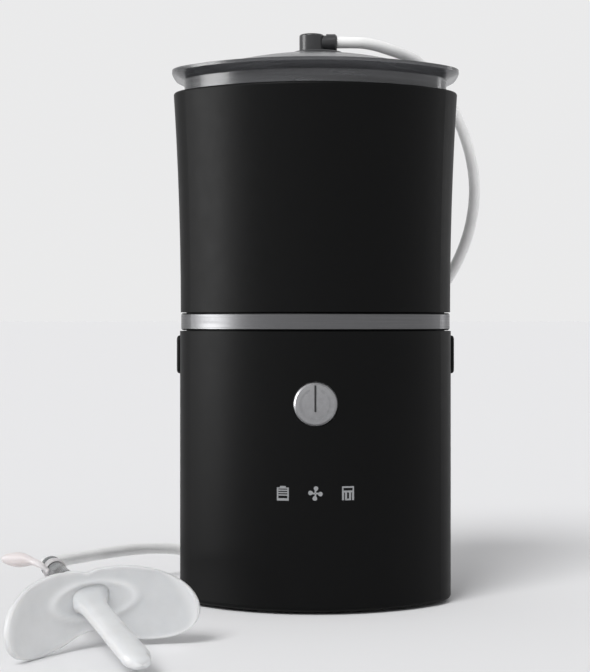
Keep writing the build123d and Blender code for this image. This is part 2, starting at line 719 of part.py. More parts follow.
# Soft seal around the suction nozzle
with BuildPart() as port_seal:
    with BuildSketch(Plane.XY.offset(DECK_TOP)):
        Circle(SEAL_RADIUS)
        Circle(NOZZLE_RADIUS + RUNNING_GAP, mode=Mode.SUBTRACT)
    extrude(amount=SEAL_HEIGHT)
    fillet(port_seal.edges().filter_by(GeomType.CIRCLE).group_by(Axis.Z)[-1], SEAL_ROUND)
finish(port_seal.part, "port_seal")

# Power button: domed cap with a retaining flange behind the housing wall
BUTTON_AXIS = Axis((0, 0, BUTTON_HEIGHT), (0, 1, 0))
with BuildPart() as power_button:
    with BuildSketch(Plane.XY.offset(BUTTON_HEIGHT)):
        with BuildLine():
            Polyline(
                (0, BUTTON_FACE - BUTTON_CROWN),
                (0, BUTTON_BACK),
                (BUTTON_RADIUS + BUTTON_RIM, BUTTON_BACK),
                (BUTTON_RADIUS + BUTTON_RIM, BUTTON_FLANGE),
                (BUTTON_RADIUS, BUTTON_FLANGE),
                (BUTTON_RADIUS, BUTTON_FACE + BUTTON_EDGE),
                (BUTTON_RADIUS - BUTTON_EDGE, BUTTON_FACE),
            )
            ThreePointArc(
                (BUTTON_RADIUS - BUTTON_EDGE, BUTTON_FACE),
                ((BUTTON_RADIUS - BUTTON_EDGE) / 2, BUTTON_FACE - CROWN_ARC_SHARE * BUTTON_CROWN),
                (0, BUTTON_FACE - BUTTON_CROWN),
            )
        make_face()
    revolve(axis=BUTTON_AXIS)
    with BuildSketch(Plane.XZ.offset(-BUTTON_FACE - MARK_DEPTH + BUTTON_CROWN)):
        with Locations((0, BUTTON_HEIGHT)):
            Circle(MARK_RADIUS + MARK_WIDTH / 2)
            Circle(MARK_RADIUS - MARK_WIDTH / 2, mode=Mode.SUBTRACT)
        with Locations((0, BUTTON_HEIGHT + MARK_RADIUS)):
            Rectangle(MARK_GAP_WIDTH, MARK_RADIUS, mode=Mode.SUBTRACT)
        with Locations((0, BUTTON_HEIGHT + MARK_BAR_LIFT)):
            Rectangle(MARK_WIDTH, MARK_BAR_LENGTH)
    extrude(amount=BUTTON_PROUD, mode=Mode.SUBTRACT)
finish(power_button.part, "power_button")

# Plunger between the button and the switch's contact
with BuildPart() as switch_plunger:
    with BuildSketch(Plane.XZ.offset(-BUTTON_BACK)):
        with Locations((0, BUTTON_HEIGHT)):
            Circle(PLUNGER_RADIUS)
    extrude(amount=-(SWITCH_FRONT - BUTTON_BACK) - PLUNGER_REACH)
finish(switch_plunger.part, "switch_plunger")

# Circuit board with its screws
with BuildPart() as main_board:
    with BuildSketch(Plane.XZ.offset(-BOARD_BACK)):
        with Locations((0, (BOARD_BOTTOM + BOARD_TOP) / 2)):
            RectangleRounded(BOARD_WIDTH, BOARD_TOP - BOARD_BOTTOM, BOARD_CORNER)
            with GridLocations(2 * BOARD_SCREW_X, BOARD_SCREW_SPAN, 2, 2):
                Circle(SCREW_RADIUS + SCREW_PLAY, mode=Mode.SUBTRACT)
    extrude(amount=BOARD_THICKNESS)
finish(main_board.part, "main_board")

with BuildPart() as board_screws:
    with BuildSketch(Plane.XZ.offset(-BOARD_FRONT)):
        with Locations((0, (BOARD_BOTTOM + BOARD_TOP) / 2)):
            with GridLocations(2 * BOARD_SCREW_X, BOARD_SCREW_SPAN, 2, 2):
                Circle(SCREW_HEAD_RADIUS)
    extrude(amount=SCREW_HEAD_HEIGHT)
    with BuildSketch(Plane.XZ.offset(-BOARD_FRONT)):
        with Locations((0, (BOARD_BOTTOM + BOARD_TOP) / 2)):
            with GridLocations(2 * BOARD_SCREW_X, BOARD_SCREW_SPAN, 2, 2):
                Circle(SCREW_RADIUS - RUNNING_GAP)
    extrude(amount=BOARD_FRONT - CHASSIS_BACK)
finish(board_screws.part, "board_screws")

# Chips on the board's front
with BuildPart() as board_chips:
    with BuildSketch(Plane.XZ.offset(-BOARD_FRONT)):
        for across, height, width, length in CHIPS:
            with Locations((across, height)):
                RectangleRounded(width, length, CHIP_CORNER)
    extrude(amount=CHIP_HEIGHT)
finish(board_chips.part, "board_chips")

# Key switch body behind the power button
with BuildPart() as power_switch:
    with BuildSketch(Plane.XZ.offset(-BOARD_FRONT)):
        with Locations((0, BUTTON_HEIGHT)):
            RectangleRounded(SWITCH_SIDE, SWITCH_SIDE, SWITCH_CORNER)
    extrude(amount=SWITCH_DEPTH)
    with BuildSketch(Plane.XZ.offset(-SWITCH_FRONT)):
        with Locations((0, BUTTON_HEIGHT)):
            Circle(PLUNGER_RADIUS + RUNNING_GAP)
    extrude(amount=-PLUNGER_REACH - BUTTON_TRAVEL - PLUNGER_SPARE, mode=Mode.SUBTRACT)
finish(power_switch.part, "power_switch")

# Status lamps and the light guides that lead to the icons
with BuildPart() as status_leds:
    with BuildSketch(Plane.XZ.offset(-BOARD_FRONT)):
        with Locations(*ICON_PLACES):
            Rectangle(LED_SIZE, LED_SIZE)
    extrude(amount=LED_DEPTH)
finish(status_leds.part, "status_leds")

GUIDE_BAR_BACK = BOARD_FRONT - LED_DEPTH - 0.3
with BuildPart() as icon_light_guides:
    with BuildSketch(Plane.XZ.offset(-GUIDE_BAR_BACK)):
        with Locations((0, ICON_HEIGHT)):
            SlotOverall(2 * ICON_SPACING + GUIDE_BAR_HEIGHT, GUIDE_BAR_HEIGHT)
    extrude(amount=GUIDE_BAR_THICKNESS)
    for guide_x, guide_z in ICON_PLACES:
        guide_reach = abs(guide_x) + GUIDE_RADIUS
        guide_length = GUIDE_BAR_BACK - face_y(guide_reach, HOUSING_WALL) - GUIDE_GAP
        with BuildSketch(Plane.XZ.offset(-GUIDE_BAR_BACK)):
            with Locations((guide_x, guide_z)):
                Circle(GUIDE_RADIUS)
        extrude(amount=guide_length)
    with BuildSketch(Plane.XZ.offset(-GUIDE_BAR_BACK)):
        with Locations((-ICON_SPACING / 2, ICON_HEIGHT), (ICON_SPACING / 2, ICON_HEIGHT)):
            Circle(GUIDE_PEG_RADIUS)
    extrude(amount=GUIDE_BAR_BACK - BOARD_FRONT)
finish(icon_light_guides.part, "icon_light_guides")

# Chassis: upright plate with board standoffs and the battery's lips
CHASSIS_TOP = DECK_BOTTOM
CHASSIS_HEIGHT = CHASSIS_TOP - COVER_TOP
BATTERY_BACK = CHASSIS_BACK + BATTERY_DEPTH
with BuildPart() as inner_chassis:
    with BuildSketch(Plane.XZ.offset(-CHASSIS_BACK)):
        with Locations((0, COVER_TOP + CHASSIS_HEIGHT / 2)):
            Rectangle(CHASSIS_WIDTH, CHASSIS_HEIGHT)
    extrude(amount=CHASSIS_THICKNESS)
    with BuildSketch(Plane.XZ.offset(-CHASSIS_FRONT)):
        with Locations((0, (BOARD_BOTTOM + BOARD_TOP) / 2)):
            with GridLocations(2 * BOARD_SCREW_X, BOARD_SCREW_SPAN, 2, 2):
                Circle(STANDOFF_RADIUS)
    extrude(amount=BOARD_STANDOFF)
    with BuildSketch(Plane.XY.offset(BATTERY_BOTTOM - CRADLE_LIP)):
        with Locations((0, CHASSIS_BACK + BATTERY_DEPTH / 2 + CRADLE_LIP / 2)):
            Rectangle(BATTERY_WIDTH + 2 * CRADLE_LIP + FIT_GAP, BATTERY_DEPTH + CRADLE_LIP)
    extrude(amount=BATTERY_HEIGHT / 2 + CRADLE_LIP)
    with BuildSketch(Plane.XY.offset(BATTERY_BOTTOM)):
        with Locations((0, CHASSIS_BACK + BATTERY_DEPTH / 2)):
            Rectangle(BATTERY_WIDTH + FIT_GAP, BATTERY_DEPTH)
        with Locations((0, BATTERY_BACK)):
            Rectangle(BATTERY_WIDTH - BATTERY_WINDOW, 4 * CRADLE_LIP)
    extrude(amount=BATTERY_HEIGHT, mode=Mode.SUBTRACT)
    with BuildSketch(Plane.XZ.offset(-CHASSIS_BACK)):
        with Locations((0, (BOARD_BOTTOM + BOARD_TOP) / 2)):
            with GridLocations(2 * BOARD_SCREW_X, BOARD_SCREW_SPAN, 2, 2):
                Circle(SCREW_RADIUS)
    extrude(amount=BOARD_THICKNESS + BOARD_STANDOFF, mode=Mode.SUBTRACT)
finish(inner_chassis.part, "inner_chassis")

with BuildPart() as battery_pack:
    with BuildSketch(Plane.XY.offset(BATTERY_BOTTOM)):
        with Locations((0, CHASSIS_BACK + BATTERY_DEPTH / 2)):
            RectangleRounded(BATTERY_WIDTH, BATTERY_DEPTH - BATTERY_PLAY, BATTERY_CORNER)
    extrude(amount=BATTERY_HEIGHT)
finish(battery_pack.part, "battery_pack")

# Pump: rubber mount, motor, head, crank, diaphragm and valve cover
with BuildPart() as motor_mount:
    with BuildSketch(Plane.XY.offset(MOTOR_BOTTOM)):
        with Locations((PUMP_X, PUMP_Y)):
            Circle(MOTOR_RADIUS + MOUNT_WALL - RUNNING_GAP)
            Circle(MOTOR_RADIUS + RUNNING_GAP, mode=Mode.SUBTRACT)
    extrude(amount=MOUNT_HEIGHT)
finish(motor_mount.part, "motor_mount")

with BuildPart() as pump_motor:
    with BuildSketch(Plane.XY.offset(MOTOR_BOTTOM)):
        with Locations((PUMP_X, PUMP_Y)):
            Circle(MOTOR_RADIUS)
    extrude(amount=MOTOR_LENGTH)
    chamfer(pump_motor.faces().filter_by(Axis.Z).edges(), MOTOR_CHAMFER)
    with BuildSketch(Plane.XY.offset(MOTOR_TOP)):
        with Locations((PUMP_X, PUMP_Y)):
            Circle(SHAFT_RADIUS + RUNNING_GAP)
    extrude(amount=-MOTOR_LENGTH + MOTOR_CAP, mode=Mode.SUBTRACT)
finish(pump_motor.part, "pump_motor")

CRANK_BOTTOM = MOTOR_TOP + CRANK_RISE
with BuildPart() as pump_head:
    with BuildSketch(Plane.XY.offset(MOTOR_TOP)):
        with Locations((PUMP_X, PUMP_Y)):
            RectangleRounded(PUMP_HEAD_SIDE, PUMP_HEAD_SIDE, PUMP_CORNER)
    extrude(amount=PUMP_HEAD_HEIGHT)
    with BuildSketch(Plane.XY.offset(MOTOR_TOP)):
        with Locations((PUMP_X, PUMP_Y)):
            Circle(SHAFT_RADIUS + RUNNING_GAP)
    extrude(amount=PUMP_HEAD_HEIGHT, mode=Mode.SUBTRACT)
    with BuildSketch(Plane.XY.offset(CRANK_BOTTOM - CRANK_CLEARANCE)):
        with Locations((PUMP_X, PUMP_Y)):
            Circle(CRANK_CHAMBER_RADIUS)
    extrude(amount=PUMP_HEAD_HEIGHT, mode=Mode.SUBTRACT)
finish(pump_head.part, "pump_head")

with BuildPart() as pump_crank:
    with BuildSketch(Plane.XY.offset(MOTOR_BOTTOM + SHAFT_START)):
        with Locations((PUMP_X, PUMP_Y)):
            Circle(SHAFT_RADIUS)
    extrude(amount=CRANK_BOTTOM + CRANK_HEIGHT - MOTOR_BOTTOM - SHAFT_START)
    with BuildSketch(Plane.XY.offset(CRANK_BOTTOM)):
        with Locations((PUMP_X + CRANK_THROW, PUMP_Y)):
            Circle(CRANK_RADIUS)
    extrude(amount=CRANK_HEIGHT)
finish(pump_crank.part, "pump_crank")

with BuildPart() as pump_diaphragm:
    with BuildSketch(Plane.XY.offset(PUMP_HEAD_TOP)):
        with Locations((PUMP_X, PUMP_Y)):
            Circle(DIAPHRAGM_RADIUS)
    extrude(amount=DIAPHRAGM_THICKNESS)
    with BuildSketch(Plane.XY.offset(PUMP_HEAD_TOP)):
        with Locations((PUMP_X, PUMP_Y)):
            Circle(DIAPHRAGM_RADIUS / 3)
    extrude(amount=-DIAPHRAGM_BOSS)
finish(pump_diaphragm.part, "pump_diaphragm")

with BuildPart() as pump_valve_cover:
    with BuildSketch(Plane.XY.offset(VALVE_COVER_BOTTOM)):
        with Locations((PUMP_X, PUMP_Y)):
            RectangleRounded(PUMP_HEAD_SIDE, PUMP_HEAD_SIDE, PUMP_CORNER)
    extrude(amount=VALVE_COVER_HEIGHT)
    with BuildSketch(Plane.XY.offset(VALVE_COVER_TOP)):
        with Locations((PUMP_X + PUMP_BARB_X, PUMP_Y), (PUMP_X - PUMP_BARB_X, PUMP_Y)):
            Circle(BARB_RADIUS)
    extrude(amount=BARB_LENGTH - 1)
    with BuildSketch(Plane.XY.offset(VALVE_COVER_BOTTOM)):
        with Locations((PUMP_X + PUMP_BARB_X, PUMP_Y), (PUMP_X - PUMP_BARB_X, PUMP_Y)):
            Circle(BARB_RADIUS / 2)
    extrude(amount=VALVE_COVER_HEIGHT + BARB_LENGTH - 1, mode=Mode.SUBTRACT)
finish(pump_valve_cover.part, "pump_valve_cover")

# Vent valve and its sliding pin
with BuildPart() as vent_valve:
    with BuildSketch(Plane.XY.offset(VALVE_BOTTOM)):
        with Locations((VALVE_X, VALVE_Y)):
            RectangleRounded(VALVE_SIDE, VALVE_SIDE, 1)
    extrude(amount=VALVE_HEIGHT)
    with BuildSketch(Plane.XY.offset(VALVE_TOP)):
        with Locations((VALVE_X, VALVE_Y)):
            Circle(BARB_RADIUS)
    extrude(amount=BARB_LENGTH)
    with BuildSketch(Plane.XY.offset(VALVE_TOP + BARB_LENGTH)):
        with Locations((VALVE_X, VALVE_Y)):
            Circle(BARB_RADIUS / 2)
    extrude(amount=-BARB_LENGTH - VALVE_CHANNEL, mode=Mode.SUBTRACT)
    with BuildSketch(Plane.XY.offset(VALVE_BOTTOM + VALVE_FLOOR)):
        with Locations((VALVE_X, VALVE_Y)):
            Circle(VALVE_PIN_RADIUS + RUNNING_GAP)
    extrude(amount=VALVE_PIN_LENGTH + VALVE_STROKE + VALVE_PIN_SPARE, mode=Mode.SUBTRACT)
finish(vent_valve.part, "vent_valve")

with BuildPart() as valve_pin:
    with BuildSketch(Plane.XY.offset(VALVE_BOTTOM + VALVE_PIN_START)):
        with Locations((VALVE_X, VALVE_Y)):
            Circle(VALVE_PIN_RADIUS)
    extrude(amount=VALVE_PIN_LENGTH)
finish(valve_pin.part, "valve_pin")


def tube(points, radius):
    """A round tube along straight runs joined by the largest arcs that fit."""
    with BuildPart() as drawn:
        with BuildLine() as path:
            FilletPolyline(*points, radius=route_radii(points))
        with BuildSketch(Plane(path.wire() @ 0, z_dir=path.wire() % 0)):
            Circle(radius)
        sweep(path=path.wire())
    return drawn.part


def hose(points, bore):
    """A soft hose with a bore along the same kind of route."""
    with BuildPart() as drawn:
        add(tube(points, bore + HOSE_WALL))
        add(tube(points, bore), mode=Mode.SUBTRACT)
    return drawn.part


# Hoses from the pump and from the vent valve to the deck's barbs
HOSE_BORE = BARB_RADIUS + RUNNING_GAP
HOSE_MIDDLE = (VALVE_COVER_TOP + DECK_BOTTOM) / 2
PUMP_BARB = (PUMP_X + PUMP_BARB_X, PUMP_Y)
finish(
    hose(
        [
            (*PUMP_BARB, VALVE_COVER_TOP + HOSE_END_GAP),
            (*PUMP_BARB, HOSE_MIDDLE - SUCTION_DIP),
            (-BARB_X, 0, HOSE_MIDDLE + SUCTION_LIFT),
            (-BARB_X, 0, DECK_BOTTOM - HOSE_GRIP_DROP),
        ],
        HOSE_BORE,
    ),
    "suction_hose",
)
finish(
    hose(
        [
            (VALVE_X, VALVE_Y, VALVE_TOP + HOSE_END_GAP),
            (VALVE_X, VALVE_Y, VALVE_TOP + VENT_RISE),
            (BARB_X + VENT_SWING_X, VENT_SWING_Y, HOSE_MIDDLE - VENT_DROP),
            (BARB_X, 0, HOSE_MIDDLE),
            (BARB_X, 0, DECK_BOTTOM - HOSE_GRIP_DROP),
        ],
        HOSE_BORE,
    ),
    "vent_hose",
)

# Pressure sensor under the deck
with BuildPart() as pressure_sensor:
    with BuildSketch(Plane.XY.offset(DECK_BOTTOM - SENSOR_HEIGHT)):
        with Locations((0, SENSOR_Y)):
            RectangleRounded(SENSOR_SIDE, SENSOR_SIDE, SENSOR_CORNER)
    extrude(amount=SENSOR_HEIGHT)
finish(pressure_sensor.part, "pressure_sensor")

# Charging socket on its own small board
with BuildPart() as charging_board:
    with BuildSketch(Plane.XY.offset(charge_board_bottom)):
        with Locations((0, charge_board_y)):
            RectangleRounded(CHARGE_BOARD_WIDTH, CHARGE_BOARD_DEPTH, CHARGE_BOARD_CORNER)
    extrude(amount=BOARD_THICKNESS)
finish(charging_board.part, "charging_board")

with BuildPart() as charging_socket:
    with BuildSketch(Plane.XZ.offset(-BODY_DEPTH / 2 + SOCKET_RECESS)):
        with Locations((0, SOCKET_HEIGHT)):
            SlotOverall(SOCKET_WIDTH, SOCKET_THICKNESS)
    extrude(amount=SOCKET_DEPTH)
    with BuildSketch(Plane.XZ.offset(-BODY_DEPTH / 2 + SOCKET_RECESS)):
        with Locations((0, SOCKET_HEIGHT)):
            SlotOverall(SOCKET_WIDTH - 2 * SOCKET_WALL, SOCKET_THICKNESS - 2 * SOCKET_WALL)
            Rectangle(SOCKET_WIDTH - TONGUE_MARGIN, TONGUE_THICKNESS, mode=Mode.SUBTRACT)
    extrude(amount=SOCKET_DEPTH - SOCKET_FLOOR, mode=Mode.SUBTRACT)
finish(charging_socket.part, "charging_socket")


def release_button(side):
    """Side button with its flange, arm and latch finger; side is 1 or -1."""
    pad_outer = BODY_WIDTH / 2 + RELEASE_PROUD
    with BuildPart() as button:
        with BuildSketch(Plane.YZ.offset(RELEASE_FLANGE_X)):
            with Locations((0, RELEASE_MIDDLE)):
                RectangleRounded(RELEASE_WIDTH, RELEASE_SPAN, RELEASE_CORNER)
        extrude(amount=pad_outer - RELEASE_FLANGE_X)
        fillet(button.faces().sort_by(Axis.X)[-1].edges(), RELEASE_ROUND)
        with BuildSketch(Plane.YZ.offset(RELEASE_BACK_X)):
            with Locations((0, RELEASE_FLANGE_MIDDLE)):
                Rectangle(
                    RELEASE_WIDTH + 2 * RELEASE_FLANGE,
                    RELEASE_FLANGE_TOP - RELEASE_FLANGE_BOTTOM,
                )
        extrude(amount=RELEASE_FLANGE_THICKNESS)
        with BuildSketch(Plane.XZ.offset(-FINGER_WIDTH / 2)):
            with BuildLine():
                Polyline(
                    (RELEASE_BACK_X, ARM_TOP - ARM_THICKNESS),
                    (RELEASE_BACK_X, ARM_TOP),
                    (FINGER_OUTER_X, ARM_TOP),
                    (FINGER_OUTER_X, ARM_TOP + FINGER_RISE),
                    (FINGER_OUTER_X + FINGER_NOSE, ARM_TOP + FINGER_RISE + NOSE_PEAK),
                    (FINGER_OUTER_X, ARM_TOP + FINGER_RISE + NOSE_END),
                    (FINGER_INNER_X, ARM_TOP + FINGER_RISE + NOSE_END),
                    (FINGER_INNER_X, ARM_TOP - ARM_THICKNESS),
                    close=True,
                )
            make_face()
        extrude(amount=FINGER_WIDTH)
        with BuildSketch(Plane.YZ.offset(RELEASE_BACK_X)):
            with Locations((0, SPRING_HEIGHT)):
                Circle(SPRING_RADIUS - SPRING_WIRE - STUD_GAP)
        extrude(amount=-STUD_LENGTH)
        if side < 0:
            mirror(about=Plane.YZ, mode=Mode.REPLACE)
    return button.part


def release_spring(side):
    """Sleeve that fills the coils of a release button's spring; side is 1 or -1."""
    with BuildPart() as spring:
        with BuildSketch(Plane.YZ.offset(side * POST_OUTER_X)):
            with Locations((0, SPRING_HEIGHT)):
                Circle(SPRING_RADIUS)
                Circle(SPRING_RADIUS - SPRING_WIRE, mode=Mode.SUBTRACT)
        extrude(amount=side * (RELEASE_BACK_X - POST_OUTER_X))
    return spring.part


finish(release_button(1), "release_button_right")
finish(release_button(-1), "release_button_left")
finish(release_spring(1), "release_spring_right")
finish(release_spring(-1), "release_spring_left")


def cup_sections(bottom, wall):
    """The canister's tapered skin from a height up to its rim, wall mm inside."""
    start = DECK_TOP
    sections = []
    for height in (bottom, LID_FLANGE_BOTTOM):
        share = (height - start) / (LID_FLANGE_BOTTOM - start)
        inset = CUP_BOTTOM_INSET + share * (CUP_TOP_INSET - CUP_BOTTOM_INSET)
        sections.append(outline(height, inset + wall).face())
    return sections


# Canister: tapered cup with a standpipe, a port socket and a skirt round the latches
with BuildPart() as canister_cup:
    loft(cup_sections(DECK_TOP, 0))
    loft(cup_sections(CUP_INNER_FLOOR, CUP_WALL), mode=Mode.SUBTRACT)
    extrude(
        outline(DECK_TOP, CUP_BOTTOM_INSET + SKIRT_WALL),
        amount=CUP_FLOOR - DECK_TOP,
        mode=Mode.SUBTRACT,
    )
    with BuildSketch(Plane.XY.offset(DECK_TOP + SEAL_HEIGHT + FIT_GAP)):
        Circle(NOZZLE_RADIUS + FIT_GAP + PORT_WALL)
    extrude(amount=CUP_FLOOR - DECK_TOP - SEAL_HEIGHT - FIT_GAP)
    with BuildSketch(Plane.XY.offset(CUP_INNER_FLOOR)):
        Circle(STANDPIPE_RADIUS)
    extrude(amount=STANDPIPE_TOP - CUP_INNER_FLOOR)
    with BuildSketch(Plane.XY.offset(DECK_TOP)):
        Circle(NOZZLE_RADIUS + FIT_GAP)
    extrude(amount=CUP_FLOOR - DECK_TOP, mode=Mode.SUBTRACT)
    with BuildSketch(Plane.XY.offset(DECK_TOP)):
        Circle(STANDPIPE_BORE)
    extrude(amount=STANDPIPE_TOP - DECK_TOP, mode=Mode.SUBTRACT)
finish(canister_cup.part, "canister_cup")

# Absorbent pad round the standpipe on the canister's floor
with BuildPart() as absorbent_pad:
    extrude(outline(CUP_INNER_FLOOR, PAD_INSET), amount=PAD_HEIGHT)
    with BuildSketch(Plane.XY.offset(CUP_INNER_FLOOR)):
        Circle(STANDPIPE_RADIUS + FIT_GAP)
    extrude(amount=PAD_HEIGHT, mode=Mode.SUBTRACT)
finish(absorbent_pad.part, "absorbent_pad")

# Filter disc on the standpipe, under its vented cap
with BuildPart() as filter_disc:
    with BuildSketch(Plane.XY.offset(STANDPIPE_TOP)):
        Circle(STANDPIPE_RADIUS - FILTER_GAP)
    extrude(amount=FILTER_THICKNESS)
finish(filter_disc.part, "filter_disc")

with BuildPart() as filter_cap:
    with BuildSketch(Plane.XY.offset(STANDPIPE_TOP - FILTER_CAP_OVERLAP)):
        Circle(STANDPIPE_RADIUS + RUNNING_GAP + FILTER_CAP_WALL)
    extrude(amount=FILTER_CAP_HEIGHT)
    fillet(filter_cap.faces().sort_by(Axis.Z)[-1].edges(), CAP_ROUND)
    with BuildSketch(Plane.XY.offset(STANDPIPE_TOP - FILTER_CAP_OVERLAP)):
        Circle(STANDPIPE_RADIUS + RUNNING_GAP)
    extrude(amount=FILTER_CAP_OVERLAP + FILTER_THICKNESS, mode=Mode.SUBTRACT)
    with BuildSketch(Plane.XY.offset(STANDPIPE_TOP)):
        with PolarLocations(STANDPIPE_RADIUS / 2, CAP_HOLE_COUNT):
            Circle(CAP_HOLE)
    extrude(amount=FILTER_CAP_HEIGHT, mode=Mode.SUBTRACT)
finish(filter_cap.part, "filter_cap")

# Lid: shallow dome with a flange, a land for the elbow and a plug that fills the rim
with BuildPart() as canister_lid:
    extrude(outline(LID_EDGE_BOTTOM, -LID_OVERHANG), amount=LID_FLANGE_EDGE)
    with BuildPart(mode=Mode.PRIVATE) as dome:
        with BuildSketch(Plane.XY.offset(LID_EDGE_BOTTOM)):
            Circle(LID_DOME_RADIUS + LID_FLANGE_EDGE)
        extrude(amount=LID_APEX - LID_EDGE_BOTTOM)
        with Locations((0, 0, LID_APEX - LID_RADIUS)):
            Sphere(LID_RADIUS, mode=Mode.INTERSECT)
    add(dome.part)
    loft(
        [
            outline(LID_FLANGE_BOTTOM, CUP_TOP_INSET).face(),
            outline(LID_EDGE_BOTTOM, -LID_OVERHANG).face(),
        ]
    )
    plug_inset = CUP_TOP_INSET + CUP_WALL + FIT_GAP
    extrude(outline(LID_FLANGE_BOTTOM - LID_PLUG_DEPTH, plug_inset), amount=LID_PLUG_DEPTH)
    with BuildPart(mode=Mode.PRIVATE) as lid_hollow:
        extrude(
            outline(LID_FLANGE_BOTTOM - LID_PLUG_DEPTH, plug_inset + LID_PLUG_WALL),
            amount=LID_APEX - LID_FLANGE_BOTTOM + LID_PLUG_DEPTH,
        )
        with Locations((0, 0, LID_APEX - LID_RADIUS)):
            Sphere(LID_RADIUS - LID_WALL, mode=Mode.INTERSECT)
    add(lid_hollow.part, mode=Mode.SUBTRACT)
    add(
        ring(
            LID_FLANGE_BOTTOM - LID_PLUG_DEPTH / 2 - LID_SEAL_HEIGHT / 2 - RUNNING_GAP,
            LID_SEAL_HEIGHT + 2 * RUNNING_GAP,
            plug_inset,
            LID_SEAL_DEPTH,
        ),
        mode=Mode.SUBTRACT,
    )
    with BuildSketch(Plane.XY.offset(LID_LAND)):
        Circle(LID_RADIUS / 4)
    extrude(amount=LID_RISE, mode=Mode.SUBTRACT)
    with BuildSketch(Plane.XY.offset(LID_LAND)):
        with Locations((ELBOW_X, 0)):
            Circle(OUTLET_BORE + OUTLET_PLAY)
    extrude(amount=-LID_RISE, mode=Mode.SUBTRACT)
finish(canister_lid.part, "canister_lid")

lid_seal_bottom = LID_FLANGE_BOTTOM - LID_PLUG_DEPTH / 2 - LID_SEAL_HEIGHT / 2
finish(
    ring(
        lid_seal_bottom,
        LID_SEAL_HEIGHT,
        plug_inset - FIT_GAP / 2,
        LID_SEAL_DEPTH + FIT_GAP / 2 - RUNNING_GAP,
    ),
    "lid_seal",
)

# Elbow: round foot, upright turret and the sideways outlet that takes the tube
with BuildPart() as tube_elbow:
    with BuildSketch(Plane.XY.offset(LID_LAND)):
        with Locations((ELBOW_PLATE_X, 0)):
            Circle(ELBOW_PLATE_RADIUS)
    extrude(amount=ELBOW_PLATE_THICKNESS)
    chamfer(tube_elbow.faces().sort_by(Axis.Z)[-1].edges(), PLATE_CHAMFER)
    with BuildSketch(Plane.XY.offset(LID_LAND)):
        with Locations((ELBOW_X, 0)):
            Circle(ELBOW_RADIUS)
    extrude(amount=ELBOW_PLATE_THICKNESS + ELBOW_HEIGHT)
    fillet(tube_elbow.faces().sort_by(Axis.Z)[-1].edges(), TURRET_ROUND)
    with BuildSketch(Plane.YZ.offset(ELBOW_X)):
        with Locations((0, OUTLET_HEIGHT)):
            Circle(OUTLET_RADIUS - OUTLET_NECK)
    extrude(amount=OUTLET_END - ELBOW_X)
    with BuildSketch(Plane.YZ.offset(OUTLET_END - 2 * OUTLET_COLLAR)):
        with Locations((0, OUTLET_HEIGHT)):
            Circle(OUTLET_RADIUS)
    extrude(amount=2 * OUTLET_COLLAR)
    chamfer(tube_elbow.faces().sort_by(Axis.X)[-1].edges(), COLLAR_CHAMFER)
    with BuildSketch(Plane.YZ.offset(ELBOW_X)):
        with Locations((0, OUTLET_HEIGHT)):
            Circle(OUTLET_BORE)
    extrude(amount=OUTLET_END, mode=Mode.SUBTRACT)
    with BuildSketch(Plane.YZ.offset(OUTLET_END - TUBE_GRIP)):
        with Locations((0, OUTLET_HEIGHT)):
            Circle(TUBE_RADIUS + RUNNING_GAP)
    extrude(amount=TUBE_GRIP, mode=Mode.SUBTRACT)
    with BuildSketch(Plane.XY.offset(LID_LAND)):
        with Locations((ELBOW_X, 0)):
            Circle(OUTLET_BORE)
    extrude(amount=OUTLET_HEIGHT - LID_LAND, mode=Mode.SUBTRACT)
finish(tube_elbow.part, "tube_elbow")


def check_tube(part, route, name):
    """Print a tube's length and how its volume compares with its section."""
    length = route.length
    section = pi * (TUBE_RADIUS**2 - TUBE_BORE**2)
    print(name, "length", round(length, 1), "volume share", round(part.volume / (section * length), 4))


def silicone_tube(points, name):
    """A limp silicone tube along straight runs with soft bends, with its bore."""
    radii = route_radii(points)
    print(name, "tightest bend", round(min(radii), 2))
    with BuildPart() as drawn:
        with BuildLine() as path:
            FilletPolyline(*points, radius=radii)
        with BuildSketch(Plane(path.wire() @ 0, z_dir=path.wire() % 0)):
            Circle(TUBE_RADIUS)
            Circle(TUBE_BORE, mode=Mode.SUBTRACT)
        sweep(path=path.wire())
    check_tube(drawn.part, path.wire(), name)
    finish(drawn.part, name)


def coil_place(turn):
    """A point of the coil after a number of turns from the lead's end."""
    left = turn
    radius = COIL_OUTER_RADIUS
    height = TUBE_FLOOR
    inward = True
    for layer in range(COIL_LAYERS):
        goal = COIL_INNER_RADIUS if inward else COIL_OUTER_RADIUS
        start = COIL_OUTER_RADIUS if inward else COIL_INNER_RADIUS
        share = min(max(left / COIL_LAYER_TURNS, 0), 1)
        radius = start + (goal - start) * share
        left -= COIL_LAYER_TURNS
        if left <= 0 or layer == COIL_LAYERS - 1:
            break
        climb = min(left / COIL_CLIMB_TURNS, 1)
        height += COIL_LAYER * (1 - cos(pi * climb)) / 2
        left -= COIL_CLIMB_TURNS
        if left <= 0:
            break
        inward = not inward
    angle = radians(COIL_START_ANGLE) + 2 * pi * turn
    return Vector(radius * cos(angle), COIL_Y + radius * sin(angle), height)


def coil_tangent(turn, total):
    """The coil's direction after a number of turns; square to its straight ends."""
    if turn <= 0:
        return Vector(1, 0, 0)
    if turn >= total:
        return Vector(0, -1, 0)
    return (coil_place(turn + COIL_STEP) - coil_place(turn - COIL_STEP)).normalized()


